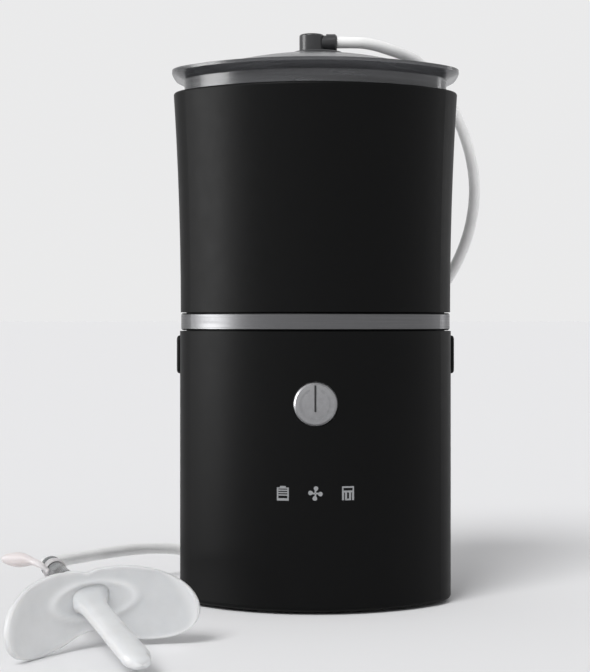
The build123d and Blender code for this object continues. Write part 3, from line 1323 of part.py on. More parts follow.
def coil_route():
    """The coil's centre line: straight ends and pairs of arcs a quarter turn long."""
    stages = [COIL_LAYER_TURNS, COIL_CLIMB_TURNS] * (COIL_LAYERS - 1) + [COIL_LAYER_TURNS]
    total = sum(stages)
    stops = [0.0]
    for stage in stages:
        pieces = ceil(stage / COIL_ARC_TURNS)
        begun = stops[-1]
        stops += [begun + stage * (i + 1) / pieces for i in range(pieces)]
    with BuildLine() as route:
        first = coil_place(0)
        Line(first - Vector(2 * TUBE_RADIUS, 0, 0), first)
        for begin, end in zip(stops[:-1], stops[1:]):
            p0 = coil_place(begin)
            p1 = coil_place(end)
            t0 = coil_tangent(begin, total)
            t1 = coil_tangent(end, total)
            chord = p1 - p0
            both = t0 + t1
            lean = 2 * (1 - t0.dot(t1))
            reach = (-chord.dot(both) + sqrt(chord.dot(both) ** 2 + lean * chord.dot(chord))) / lean
            middle = (p0 + p1 + (t0 - t1) * reach) * 0.5
            turn_in = ((p1 - t1 * reach) - (p0 + t0 * reach)).normalized()
            TangentArc(p0, middle, tangent=t0)
            TangentArc(middle, p1, tangent=turn_in)
        last = coil_place(total)
        Line(last, last - Vector(0, 2 * TUBE_RADIUS, 0))
    return route.wire()


def print_own_gap(route, name):
    """Print the smallest gap a tube keeps to its own other turns."""
    count = ceil(route.length / COIL_SAMPLE)
    points = [route.position_at(i / count) for i in range(count + 1)]
    apart = ceil(2 * pi * COIL_INNER_RADIUS / 2 / COIL_SAMPLE)
    nearest = min(
        (points[i] - points[j]).length
        for i in range(len(points))
        for j in range(i + apart, len(points))
    )
    print(name, "gap to itself", round(nearest - 2 * TUBE_RADIUS, 2))


# Suction tube: riser down from the elbow, coil on the table, lead to the mouthpiece
silicone_tube(RISER_POINTS, "tube_riser")
silicone_tube(LEAD_POINTS, "tube_lead")

coil_line = coil_route()
print_own_gap(coil_line, "tube_coil")
with BuildPart() as tube_coil:
    with BuildSketch(Plane(coil_line @ 0, z_dir=coil_line % 0)):
        Circle(TUBE_RADIUS)
        Circle(TUBE_BORE, mode=Mode.SUBTRACT)
    sweep(path=coil_line)
check_tube(tube_coil.part, coil_line, "tube_coil")
finish(tube_coil.part, "tube_coil")

# Mouthpiece: curved lip shield, tongue paddle, clear stem and soft pull tab
shield_place = Vector(*SHIELD_PLACE)
shield_frame = Plane(
    origin=SHIELD_PLACE,
    x_dir=(
        cos(radians(SHIELD_YAW)) * cos(radians(SHIELD_ROLL)),
        sin(radians(SHIELD_YAW)) * cos(radians(SHIELD_ROLL)),
        sin(radians(SHIELD_ROLL)),
    ),
    z_dir=(
        -cos(radians(SHIELD_YAW)) * sin(radians(SHIELD_ROLL)),
        -sin(radians(SHIELD_YAW)) * sin(radians(SHIELD_ROLL)),
        cos(radians(SHIELD_ROLL)),
    ),
)
paddle_axis = Vector(
    sin(radians(PADDLE_YAW)) * cos(radians(PADDLE_PITCH)),
    -cos(radians(PADDLE_YAW)) * cos(radians(PADDLE_PITCH)),
    -sin(radians(PADDLE_PITCH)),
)
paddle_across = Vector(cos(radians(PADDLE_YAW)), sin(radians(PADDLE_YAW)), 0)
paddle_frame = Plane(origin=SHIELD_PLACE, x_dir=paddle_axis, z_dir=paddle_axis.cross(paddle_across))
stem_frame = Plane(origin=SHIELD_PLACE, z_dir=STEM_AXIS)


def paddle_blank(start, width, thickness):
    """The tongue paddle's flat bar from a distance along its axis to its tip."""
    with BuildPart() as blank:
        with BuildSketch(paddle_frame.offset(-thickness / 2)):
            with Locations(((start + PADDLE_LENGTH) / 2, 0)):
                RectangleRounded(PADDLE_LENGTH - start, width, width / 2 - PADDLE_TIP_MARGIN)
        extrude(amount=thickness)
        fillet(blank.edges(), PADDLE_EDGE)
    return blank.part


def stem_cylinder(start, end, radius):
    """A cylinder on the stem's axis between two distances from the shield."""
    with BuildPart() as rod:
        with BuildSketch(stem_frame.offset(start)):
            Circle(radius)
        extrude(amount=end - start)
    return rod.part


with BuildPart() as lip_shield:
    with BuildPart(mode=Mode.PRIVATE) as shield_ring:
        with BuildSketch(Plane.XY.offset(-SHIELD_REACH)):
            with Locations((0, -SHIELD_RADIUS)):
                Circle(SHIELD_RADIUS + SHIELD_THICKNESS / 2)
                Circle(SHIELD_RADIUS - SHIELD_THICKNESS / 2, mode=Mode.SUBTRACT)
        extrude(amount=2 * SHIELD_REACH)
    with BuildPart(mode=Mode.PRIVATE) as wings:
        with BuildSketch(Plane.XZ.offset(-SHIELD_THICKNESS)):
            for side in (1, -1):
                with BuildSketch(mode=Mode.PRIVATE) as wing:
                    for across, height, radius in SHIELD_WING:
                        with Locations((side * across, height)):
                            Circle(radius)
                    make_hull()
                add(wing.sketch)
        extrude(amount=SHIELD_RADIUS)
    add(shield_frame.from_local_coords(shield_ring.part & wings.part))
    fillet(lip_shield.edges(), SHIELD_EDGE)
    add(stem_cylinder(-SHIELD_THICKNESS / 2, STEM_BOSS_LENGTH, STEM_BOSS_RADIUS))
    with BuildPart(mode=Mode.PRIVATE) as collar:
        with BuildSketch(Plane(origin=SHIELD_PLACE, x_dir=paddle_across, z_dir=paddle_axis)):
            Ellipse(PADDLE_WIDTH / 2 + COLLAR_MARGIN, PADDLE_THICKNESS / 2 + COLLAR_MARGIN)
        extrude(amount=SHIELD_THICKNESS / 2 + SHIELD_COLLAR)
    add(collar.part)
    add(
        stem_cylinder(STEM_BOSS_LENGTH - STEM_GRIP, STEM_BOSS_LENGTH, STEM_RADIUS + RUNNING_GAP),
        mode=Mode.SUBTRACT,
    )
    add(stem_cylinder(0, STEM_BOSS_LENGTH, STEM_PASSAGE), mode=Mode.SUBTRACT)
    with BuildPart(mode=Mode.PRIVATE) as slot_cut:
        with BuildSketch(Plane(origin=SHIELD_PLACE, x_dir=paddle_across, z_dir=paddle_axis)):
            RectangleRounded(
                PADDLE_WIDTH + 2 * RUNNING_GAP, PADDLE_THICKNESS + 2 * RUNNING_GAP, PADDLE_EDGE
            )
        extrude(amount=PADDLE_LENGTH)
    add(slot_cut.part, mode=Mode.SUBTRACT)
finish(lip_shield.part, "lip_shield")

with BuildPart() as tongue_paddle:
    with BuildSketch(Plane(origin=SHIELD_PLACE, x_dir=paddle_across, z_dir=paddle_axis)):
        RectangleRounded(PADDLE_WIDTH, PADDLE_THICKNESS, PADDLE_EDGE)
    extrude(amount=PADDLE_LENGTH)
    add(paddle_blank(-PADDLE_WIDTH, PADDLE_WIDTH, PADDLE_THICKNESS), mode=Mode.INTERSECT)
    with BuildSketch(Plane(origin=SHIELD_PLACE, x_dir=paddle_across, z_dir=paddle_axis)):
        Circle(PADDLE_PORT)
    extrude(amount=PADDLE_LENGTH - PADDLE_WIDTH, mode=Mode.SUBTRACT)
    with BuildPart(mode=Mode.PRIVATE) as side_port:
        with BuildSketch(paddle_frame.offset(-PADDLE_PORT)):
            with Locations((PADDLE_LENGTH - PADDLE_WIDTH - PADDLE_NOTCH / 2, PADDLE_WIDTH / 2)):
                Rectangle(PADDLE_NOTCH, PADDLE_WIDTH)
        extrude(amount=2 * PADDLE_PORT)
    add(side_port.part, mode=Mode.SUBTRACT)
finish(tongue_paddle.part, "tongue_paddle")

# Clear stem between the shield's boss and the tube, and the tab that rings it
stem_length = (Vector(*STEM_TOP) - shield_place).length
with BuildPart() as stem_connector:
    add(stem_cylinder(STEM_BOSS_LENGTH - STEM_GRIP, stem_length, STEM_RADIUS))
    add(stem_cylinder(STEM_BOSS_LENGTH - STEM_GRIP, stem_length, STEM_PASSAGE), mode=Mode.SUBTRACT)
    add(stem_cylinder(stem_length - STEM_GRIP, stem_length, STEM_BORE), mode=Mode.SUBTRACT)
finish(stem_connector.part, "stem_connector")

tab_ring_start = stem_length - TAB_RING_BACK
tab_ring_middle = shield_place + STEM_AXIS * (tab_ring_start + TAB_RING_LENGTH / 2)
tab_centre = Vector(*TAB_CENTRE)
with BuildPart() as pull_tab:
    with BuildSketch(Plane(origin=tab_centre - Vector(TAB_HALF_LENGTH, 0, 0), z_dir=(1, 0, 0))):
        Circle(TAB_RADIUS)
    extrude(amount=2 * TAB_HALF_LENGTH)
    fillet(pull_tab.edges().filter_by(GeomType.CIRCLE), TAB_RADIUS - TAB_ROUND_MARGIN)
    add(
        stem_cylinder(
            tab_ring_start,
            tab_ring_start + TAB_RING_LENGTH,
            STEM_RADIUS + RUNNING_GAP + TAB_RING_WALL,
        )
    )
    with BuildSketch(Plane(origin=tab_centre, z_dir=tab_ring_middle - tab_centre)):
        Circle(TAB_ARM_RADIUS)
    extrude(amount=(tab_ring_middle - tab_centre).length)
    add(
        stem_cylinder(tab_ring_start - 1, stem_length + 1, STEM_RADIUS + RUNNING_GAP),
        mode=Mode.SUBTRACT,
    )
finish(pull_tab.part, "pull_tab")
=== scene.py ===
"""Bedside suction console with a saliva canister, a silicone tube and a mouthpiece.

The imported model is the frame. Rigid nodes keep their shape and get finishes here;
the tube and the mouthpiece are made anew as soft, smooth pieces.
"""

from __future__ import annotations

import json
import logging
import math
from dataclasses import dataclass, field
from enum import Enum
from typing import Callable, Sequence

import bmesh
import bpy
from mathutils import Matrix, Vector
from mathutils.geometry import interpolate_bezier

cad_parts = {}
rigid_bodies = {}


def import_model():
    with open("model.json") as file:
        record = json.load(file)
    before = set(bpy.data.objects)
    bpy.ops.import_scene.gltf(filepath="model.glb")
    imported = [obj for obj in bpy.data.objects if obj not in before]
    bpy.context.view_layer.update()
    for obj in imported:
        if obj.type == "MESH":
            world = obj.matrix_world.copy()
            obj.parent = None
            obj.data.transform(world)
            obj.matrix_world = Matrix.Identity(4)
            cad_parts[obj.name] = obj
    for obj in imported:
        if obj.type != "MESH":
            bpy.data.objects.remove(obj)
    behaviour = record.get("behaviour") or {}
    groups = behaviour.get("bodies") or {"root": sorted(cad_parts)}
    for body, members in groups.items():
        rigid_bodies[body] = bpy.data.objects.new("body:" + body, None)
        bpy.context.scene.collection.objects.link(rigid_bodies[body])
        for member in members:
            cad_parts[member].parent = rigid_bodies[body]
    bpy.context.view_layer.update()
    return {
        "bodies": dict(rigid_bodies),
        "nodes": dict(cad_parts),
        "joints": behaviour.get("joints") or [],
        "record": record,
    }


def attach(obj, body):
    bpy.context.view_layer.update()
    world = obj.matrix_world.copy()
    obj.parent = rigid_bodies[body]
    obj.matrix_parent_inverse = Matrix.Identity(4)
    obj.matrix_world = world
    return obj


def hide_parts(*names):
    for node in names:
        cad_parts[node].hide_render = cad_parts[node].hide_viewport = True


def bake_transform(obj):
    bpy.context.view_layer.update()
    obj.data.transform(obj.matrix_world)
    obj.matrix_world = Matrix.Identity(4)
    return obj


LOG = logging.getLogger("console")
MM = 0.001
# Vertex layer that marks where silicone rims and ridges get a painted highlight.
PAINTED_RIM_HIGHLIGHT = "bead_and_highlight"
NOISE_LOW, NOISE_HIGH = 0.3, 0.7
TUBE_SIDES, BORE_SIDES = 20, 12
MERGE = 1e-6
Colour = tuple[float, float, float]


def mm(*values: float) -> Vector:
    """Return a point given in millimetres as one in metres."""
    return Vector(values) * MM


class Body(Enum):
    """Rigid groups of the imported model."""

    CONSOLE = "console"
    BUTTON = "power_button"
    CANISTER = "canister"
    LID = "lid"


class Slot(Enum):
    """Record slots that the new pieces take their finish from."""

    SILICONE = "silicone"
    CLEAR = "clear_plastic"
    TAB = "soft_tab"
    GUIDE = "light_guide"
    DARK = "black_plastic"


class Palette(Enum):
    """Linear colours of the finishes."""

    CHARCOAL = (0.0027, 0.0028, 0.0029)
    CHARCOAL_WORN = (0.0036, 0.0037, 0.0039)
    BLACK = (0.010, 0.010, 0.011)
    INK = (0.012, 0.012, 0.013)
    ICON = (0.27, 0.275, 0.285)
    SATIN = (0.135, 0.135, 0.139)
    SILVER = (0.33, 0.33, 0.338)
    SMOKE = (0.125, 0.127, 0.134)
    GREY = (0.027, 0.0274, 0.029)
    SILICONE = (0.80, 0.812, 0.822)
    # Lighter silicone colour painted on rims and ridges: a painted highlight.
    PAINTED_RIM_HIGHLIGHT = (0.95, 0.955, 0.96)
    TUBE = (0.96, 0.96, 0.955)
    TAB = (0.74, 0.68, 0.68)
    CLEAR = (0.26, 0.275, 0.28)
    STEEL = (0.50, 0.50, 0.51)
    RUBBER = (0.014, 0.014, 0.014)
    WHITE = (0.76, 0.76, 0.74)
    BOARD = (0.012, 0.085, 0.035)
    FOIL = (0.55, 0.56, 0.58)
    FLOOR = (0.80, 0.80, 0.81)


class Tree:
    """A material's nodes while they are put together."""

    def __init__(self, name: str) -> None:
        """Start a material of that name with only its output and shader."""
        self.material = bpy.data.materials.new(name)
        self.material.use_nodes = True
        self.nodes = self.material.node_tree.nodes
        self.links = self.material.node_tree.links
        self.nodes.clear()
        self.output = self.nodes.new("ShaderNodeOutputMaterial")
        self.shader = self.nodes.new("ShaderNodeBsdfPrincipled")
        self.links.new(self.shader.outputs[0], self.output.inputs["Surface"])

    def add(self, kind: str, **sockets: object) -> bpy.types.Node:
        """Add a node and set or link its sockets.

        Args:
            kind: The node's type name, without the ShaderNode prefix.
            sockets: Socket names, with _ for a space, and values or outputs.

        Returns:
            The new node.
        """
        node = self.nodes.new("ShaderNode" + kind)
        for name, value in sockets.items():
            self.put(node, name.replace("_", " "), value)
        return node

    def put(self, node: bpy.types.Node, name: str, value: object) -> None:
        """Set a socket to a value, or link an output to it."""
        socket = node.inputs[name]
        if isinstance(value, bpy.types.NodeSocket):
            self.links.new(value, socket)
        elif hasattr(value, "__len__") and len(value) == 3 and socket.type == "RGBA":
            socket.default_value = (*value, 1.0)
        else:
            socket.default_value = value

    def set(self, **sockets: object) -> None:
        """Set or link sockets of the main shader."""
        for name, value in sockets.items():
            self.put(self.shader, name.replace("_", " "), value)

    def place(
        self, scale: Sequence[float] = (1, 1, 1), centre: Vector = Vector()
    ) -> bpy.types.NodeSocket:
        """Give object coordinates, stretched and centred.

        Args:
            scale: Stretch along each axis.
            centre: Point that becomes the origin, in metres.

        Returns:
            The mapped coordinates.
        """
        coordinates = self.add("TexCoord")
        mapping = self.add("Mapping", Vector=coordinates.outputs["Object"])
        mapping.inputs["Scale"].default_value = scale
        mapping.inputs["Location"].default_value = [-c * s for c, s in zip(centre, scale)]
        return mapping.outputs[0]

    def noise(self, scale: float, detail: float = 3.0, **more: object) -> bpy.types.NodeSocket:
        """Give a noise value at a scale in cycles to the metre."""
        vector = more.pop("Vector", None)
        node = self.add("TexNoise", Scale=scale, Detail=detail, **more)
        self.links.new(vector if vector is not None else self.place(), node.inputs["Vector"])
        return node.outputs["Fac"]

    def span(self, value: bpy.types.NodeSocket, low: float, high: float) -> bpy.types.NodeSocket:
        """Stretch a value from 0 to 1 over a range."""
        node = self.add("MapRange", Value=value)
        node.inputs["From Min"].default_value = NOISE_LOW
        node.inputs["From Max"].default_value = NOISE_HIGH
        node.inputs["To Min"].default_value = low
        node.inputs["To Max"].default_value = high
        return node.outputs[0]

    def mix(self, share: bpy.types.NodeSocket, first: Colour, second: Colour) -> bpy.types.NodeSocket:
        """Blend two colours by a share from 0 to 1."""
        node = self.nodes.new("ShaderNodeMix")
        node.data_type = "RGBA"
        self.links.new(share, node.inputs[0])
        node.inputs[6].default_value = (*first, 1)
        node.inputs[7].default_value = (*second, 1)
        return node.outputs[2]

    def bump(self, height: bpy.types.NodeSocket, strength: float, depth: float) -> bpy.types.NodeSocket:
        """Turn a height into a normal; depth is in metres."""
        node = self.add("Bump", Height=height)
        node.inputs["Strength"].default_value = strength
        node.inputs["Distance"].default_value = depth
        return node.outputs[0]


@dataclass(frozen=True)
class Moulding:
    """Injection-moulded plastic or rubber with a fine spark-eroded grain."""

    name: str
    colour: Palette
    worn: Palette
    roughness: float = 0.5
    grain: float = 2600.0
    grain_depth: float = 0.00004
    grain_strength: float = 0.25
    cloud: float = 55.0
    specular: float = 0.4
    coat: float = 0.0

    def build(self) -> bpy.types.Material:
        """Make the material."""
        tree = Tree(self.name)
        cloud = tree.span(tree.noise(self.cloud, 4.0), 0.0, 0.3)
        tree.set(Base_Color=tree.mix(cloud, self.colour.value, self.worn.value))
        wear = tree.noise(self.cloud * 6)
        tree.set(Roughness=tree.span(wear, self.roughness - 0.02, self.roughness + 0.02))
        tree.set(Specular_IOR_Level=self.specular, Coat_Weight=self.coat, Coat_Roughness=0.12)
        tree.set(Normal=tree.bump(tree.noise(self.grain, 2.0), self.grain_strength, self.grain_depth))
        return tree.material


@dataclass(frozen=True)
class Metal:
    """Satin metal with fine lines along one direction."""

    name: str
    colour: Palette
    roughness: float = 0.3
    lines: tuple[float, float, float] = (60.0, 60.0, 4200.0)
    line_strength: float = 0.12

    def build(self) -> bpy.types.Material:
        """Make the material."""
        tree = Tree(self.name)
        lines = tree.noise(1.0, 4.0, Vector=tree.place(self.lines))
        dark = tuple(c * 0.86 for c in self.colour.value)
        tree.set(Base_Color=tree.mix(tree.span(lines, 0, 1), self.colour.value, dark))
        tree.set(Roughness=tree.span(lines, self.roughness - 0.05, self.roughness + 0.08), Metallic=1.0)
        tree.set(Normal=tree.bump(lines, self.line_strength, 0.00003))
        return tree.material


@dataclass(frozen=True)
class Clear:
    """Tinted see-through plastic, lightly frosted, with flow streaks."""

    name: str
    colour: Palette
    transmission: float = 0.7
    roughness: float = 0.14
    streaks: tuple[float, float, float] = (30.0, 30.0, 160.0)
    streak_centre: Vector = field(default_factory=Vector)
    streak_strength: float = 0.2
    lift: float = 1.5
    ior: float = 1.46

    def build(self) -> bpy.types.Material:
        """Make the material."""
        tree = Tree(self.name)
        streaks = tree.noise(1.0, 5.0, Vector=tree.place(self.streaks, self.streak_centre))
        light = tuple(min(1.0, c * self.lift) for c in self.colour.value)
        tree.set(Base_Color=tree.mix(tree.span(streaks, 0, 1), self.colour.value, light))
        tree.set(Transmission_Weight=self.transmission, IOR=self.ior, Specular_IOR_Level=0.5)
        tree.set(Roughness=tree.span(streaks, self.roughness, self.roughness + 0.12))
        tree.set(Normal=tree.bump(streaks, self.streak_strength, 0.0002))
        return tree.material


@dataclass(frozen=True)
class Silicone:
    """Milky silicone rubber: soft scatter inside, a waxy skin, faint clouds and a painted highlight on rims
    and ridges.
    """

    name: str
    colour: Palette
    transmission: float = 0.2
    roughness: float = 0.34
    scatter: float = 0.8
    sheen: float = 0.15
    grain: float = 0.1

    def build(self) -> bpy.types.Material:
        """Make the material."""
        tree = Tree(self.name)
        cloud = tree.noise(160.0, 4.0)
        shade = tuple(c * 0.9 for c in self.colour.value)
        body = tree.mix(tree.span(cloud, 0, 1), self.colour.value, shade)
        # The vertex layer paints rims and ridges lighter: a painted highlight, not the rubber's own colour.
        bead_and_highlight = tree.nodes.new("ShaderNodeAttribute")
        bead_and_highlight.attribute_name = PAINTED_RIM_HIGHLIGHT
        painted_highlight = tree.nodes.new("ShaderNodeMix")
        painted_highlight.data_type = "RGBA"
        tree.links.new(bead_and_highlight.outputs["Fac"], painted_highlight.inputs[0])
        tree.links.new(body, painted_highlight.inputs[6])
        painted_highlight.inputs[7].default_value = (*Palette.PAINTED_RIM_HIGHLIGHT.value, 1)
        tree.set(Base_Color=painted_highlight.outputs[2])
        tree.set(Transmission_Weight=self.transmission, IOR=1.41, Subsurface_Weight=self.scatter)
        tree.set(Subsurface_Scale=0.004, Specular_IOR_Level=0.5)
        tree.set(Sheen_Weight=self.sheen, Sheen_Roughness=0.3)
        tree.shader.inputs["Subsurface Radius"].default_value = (1.0, 0.95, 0.9)
        tree.set(Roughness=tree.span(tree.noise(900.0), self.roughness - 0.06, self.roughness + 0.08))
        tree.set(Normal=tree.bump(tree.noise(300.0, 2.0), self.grain, 0.00005))
        return tree.material


@dataclass(frozen=True)
class Fibre:
    """Absorbent felt of short fibres."""

    name: str
    colour: Palette

    def build(self) -> bpy.types.Material:
        """Make the material."""
        tree = Tree(self.name)
        fibre = tree.noise(1400.0, 6.0)
        dark = tuple(c * 0.7 for c in self.colour.value)
        tree.set(Base_Color=tree.mix(tree.span(fibre, 0, 1), dark, self.colour.value))
        tree.set(Roughness=0.95, Specular_IOR_Level=0.2, Sheen_Weight=0.3)
        tree.set(Normal=tree.bump(fibre, 0.6, 0.0003))
        return tree.material


def link(
    mesh: bmesh.types.BMesh, name: str, finish: bpy.types.Material, smooth: bool = True
) -> bpy.types.Object:
    """Turn a bmesh into an object with a finish.

    Args:
        mesh: The mesh, which is freed.
        name: The object's name.
        finish: Its material.
        smooth: Whether its faces are shaded smooth.

    Returns:
        The new object, at the origin.
    """
    data = bpy.data.meshes.new(name)
    for face in mesh.faces:
        face.smooth = smooth
    mesh.to_mesh(data)
    mesh.free()
    data.materials.append(finish)
    piece = bpy.data.objects.new(name, data)
    bpy.context.scene.collection.objects.link(piece)
    return piece


def ride(piece: bpy.types.Object, body: Body) -> None:
    """Fix a piece to a body and log it."""
    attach(piece, body.value)
    LOG.info("%s rides on %s", piece.name, body.value)


def path_frames(path: Sequence[Vector]) -> list[Matrix]:
    """Give a frame at each point of a path, turned as little as can be.

    Args:
        path: Points along the line, in metres.

    Returns:
        Matrices whose Z axis runs along the line.
    """
    frames = []
    along = (path[1] - path[0]).normalized()
    side = along.orthogonal().normalized()
    for i, point in enumerate(path):
        ahead = path[min(i + 1, len(path) - 1)] - path[max(i - 1, 0)]
        ahead.normalize()
        side = (side - ahead * side.dot(ahead)).normalized()
        across = ahead.cross(side)
        turn = Matrix((side, across, ahead)).transposed().to_4x4()
        frames.append(Matrix.Translation(point) @ turn)
    return frames


def sweep(
    path: Sequence[Vector], radii: Callable[[float], float], sides: int = TUBE_SIDES
) -> bmesh.types.BMesh:
    """Sweep a circle along a path, as rings that are bridged.

    Args:
        path: Points along the line, in metres.
        radii: Radius in metres for a share of the path from 0 to 1.
        sides: Corners of each ring.

    Returns:
        The swept surface, open at both ends.
    """
    mesh = bmesh.new()
    last = None
    for i, frame in enumerate(path_frames(path)):
        share = i / (len(path) - 1)
        ring = bmesh.ops.create_circle(mesh, segments=sides, radius=radii(share), matrix=frame)["verts"]
        edges = list({edge for vert in ring for edge in vert.link_edges if edge.other_vert(vert) in ring})
        if last is not None:
            bmesh.ops.bridge_loops(mesh, edges=last + edges)
        last = edges
    return mesh


def take_in(mesh: bmesh.types.BMesh, other: bmesh.types.BMesh) -> None:
    """Add another mesh's faces to a mesh and free the other."""
    data = bpy.data.meshes.new("part")
    other.to_mesh(data)
    other.free()
    mesh.from_mesh(data)
    bpy.data.meshes.remove(data)


def turn_round(mesh: bmesh.types.BMesh, steps: int) -> None:
    """Spin a mesh's profile a full turn about Z."""
    profile = mesh.verts[:] + mesh.edges[:]
    centre, axis = (0, 0, 0), (0, 0, 1)
    bmesh.ops.spin(mesh, geom=profile, cent=centre, axis=axis, angle=math.tau, steps=steps, use_merge=True)


def hollow_tube(path: Sequence[Vector], radius: float, bore: float) -> bmesh.types.BMesh:
    """Make a tube with a wall and a bore along a path.

    Args:
        path: Points along the line, in metres.
        radius: Outer radius in metres.
        bore: Inner radius in metres.

    Returns:
        A closed mesh.
    """
    mesh = sweep(path, lambda share: radius)
    inner = sweep(path, lambda share: bore, BORE_SIDES)
    bmesh.ops.reverse_faces(inner, faces=inner.faces)
    take_in(mesh, inner)
    rim = [edge for edge in mesh.edges if edge.is_boundary]
    for edge in rim:
        edge.smooth = False
    for end in (path[0], path[-1]):
        near = [e for e in rim if (e.verts[0].co - end).length < radius * 1.5]
        bmesh.ops.bridge_loops(mesh, edges=near)
    bmesh.ops.recalc_face_normals(mesh, faces=mesh.faces)
    return mesh


@dataclass
class SuctionTube:
    """Silicone tube: down from the elbow, into a stored coil and out to the mouthpiece."""

    finish: bpy.types.Material
    diameter: float = 2.6
    bore: float = 1.2
    coil_y: float = 49.0
    coil_inner: float = 10.5
    coil_turns: float = 2.0625
    coil_pitch: float = 3.5
    coil_layer: float = 3.4
    coil_layers: int = 4
    climb: float = 0.5
    floor: float = 1.35
    points_a_turn: int = 12
    split: Vector = field(default_factory=lambda: mm(38.3, 25.0, 96.0))
    landing: Vector = field(default_factory=lambda: mm(-17.8, 37.5, 11.6))

    riser = (
        (2.4, 0.0, 123.85),
        (7.0, 0.0, 123.9),
        (11.8, 0.2, 123.85),
        (18.0, 4.2, 122.6),
        (24.2, 12.1, 121.7),
        (30.3, 20.8, 115.8),
        (35.5, 24.5, 107.0),
        (38.3, 25.0, 96.0),
        (37.6, 25.0, 85.0),
        (33.8, 25.5, 74.5),
        (27.0, 29.0, 64.5),
        (18.0, 32.0, 55.0),
        (7.5, 33.5, 45.5),
        (-3.5, 34.5, 36.0),
        (-12.0, 32.0, 27.0),
        (-15.8, 31.4, 18.6),
        (-17.8, 37.5, 11.6),
        (-18.2, 43.5, 11.55),
    )
    lead = (
        (-5.0, 30.9, 1.35),
        (-12.0, 31.2, 1.5),
        (-21.0, 32.2, 2.7),
        (-32.6, 31.0, 6.2),
        (-40.8, 21.5, 7.6),
        (-46.5, 8.5, 8.5),
        (-51.2, -6.5, 9.6),
        (-54.6, -19.0, 10.4),
        (-56.3, -29.0, 11.5),
        (-53.7, -35.0, 11.8),
        (-52.5, -37.7, 11.45),
    )

    def coil_point(self, turn: float) -> Vector:
        """Give a control point of the coil after some turns from the lead's end."""
        outer = self.coil_inner + self.coil_pitch * self.coil_turns
        left, height, inward, radius = turn, self.floor, True, outer
        for layer in range(self.coil_layers):
            start, goal = (outer, self.coil_inner) if inward else (self.coil_inner, outer)
            radius = start + (goal - start) * min(max(left / self.coil_turns, 0), 1)
            left -= self.coil_turns
            if left <= 0 or layer == self.coil_layers - 1:
                break
            height += self.coil_layer * (1 - math.cos(math.pi * min(left / self.climb, 1))) / 2
            left -= self.climb
            if left <= 0:
                break
            inward = not inward
        angle = 2 * math.pi * turn - math.pi / 2
        pulled = radius / math.cos(math.pi / self.points_a_turn)
        return mm(pulled * math.cos(angle), self.coil_y + pulled * math.sin(angle), height)

    def route(self) -> list[Vector]:
        """Give the points of the whole tube's smooth line, from the elbow on."""
        total = self.coil_turns * self.coil_layers + self.climb * (self.coil_layers - 1)
        count = round(total * self.points_a_turn)
        coil = [self.coil_point(total * (1 - i / count)) for i in range(count + 1)]
        control = [mm(*p) for p in self.riser] + coil + [mm(*p) for p in self.lead]
        curve = bpy.data.curves.new("tube_line", "CURVE")
        curve.dimensions = "3D"
        curve.resolution_u = 8
        spline = curve.splines.new("NURBS")
        spline.points.add(len(control) - 1)
        for point, place in zip(spline.points, control):
            point.co = (*place, 1)
        spline.order_u = 3
        spline.use_endpoint_u = True
        line = bpy.data.objects.new("tube_line", curve)
        bpy.context.scene.collection.objects.link(line)
        bpy.context.view_layer.update()
        drawn = bpy.data.meshes.new_from_object(line.evaluated_get(bpy.context.evaluated_depsgraph_get()))
        path = [vert.co.copy() for vert in drawn.vertices]
        bpy.data.objects.remove(line)
        bpy.data.curves.remove(curve)
        bpy.data.meshes.remove(drawn)
        return path

    def build(self, ends: Sequence[bpy.types.Object]) -> None:
        """Make the tube's three runs.

        Args:
            ends: The mouthpiece's pieces at the lead's far end; not used.
        """
        path = self.route()
        cut = min(range(len(path)), key=lambda i: (path[i] - self.split).length)
        coil = min(range(len(path)), key=lambda i: (path[i] - self.landing).length)
        top, drop, rest = path[: cut + 1], path[cut : coil + 1], path[coil:]
        runs = []
        for name, run in (("tube_top", top), ("tube_drop", drop), ("tube_stored", rest)):
            piece = link(hollow_tube(run, self.diameter / 2 * MM, self.bore / 2 * MM), name, self.finish)
            runs.append(piece)
        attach(runs[2], Body.CONSOLE.value)
        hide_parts("tube_riser")
        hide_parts("tube_riser")
        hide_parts("tube_coil", "tube_lead")
        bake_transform(runs[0])
        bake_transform(runs[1])


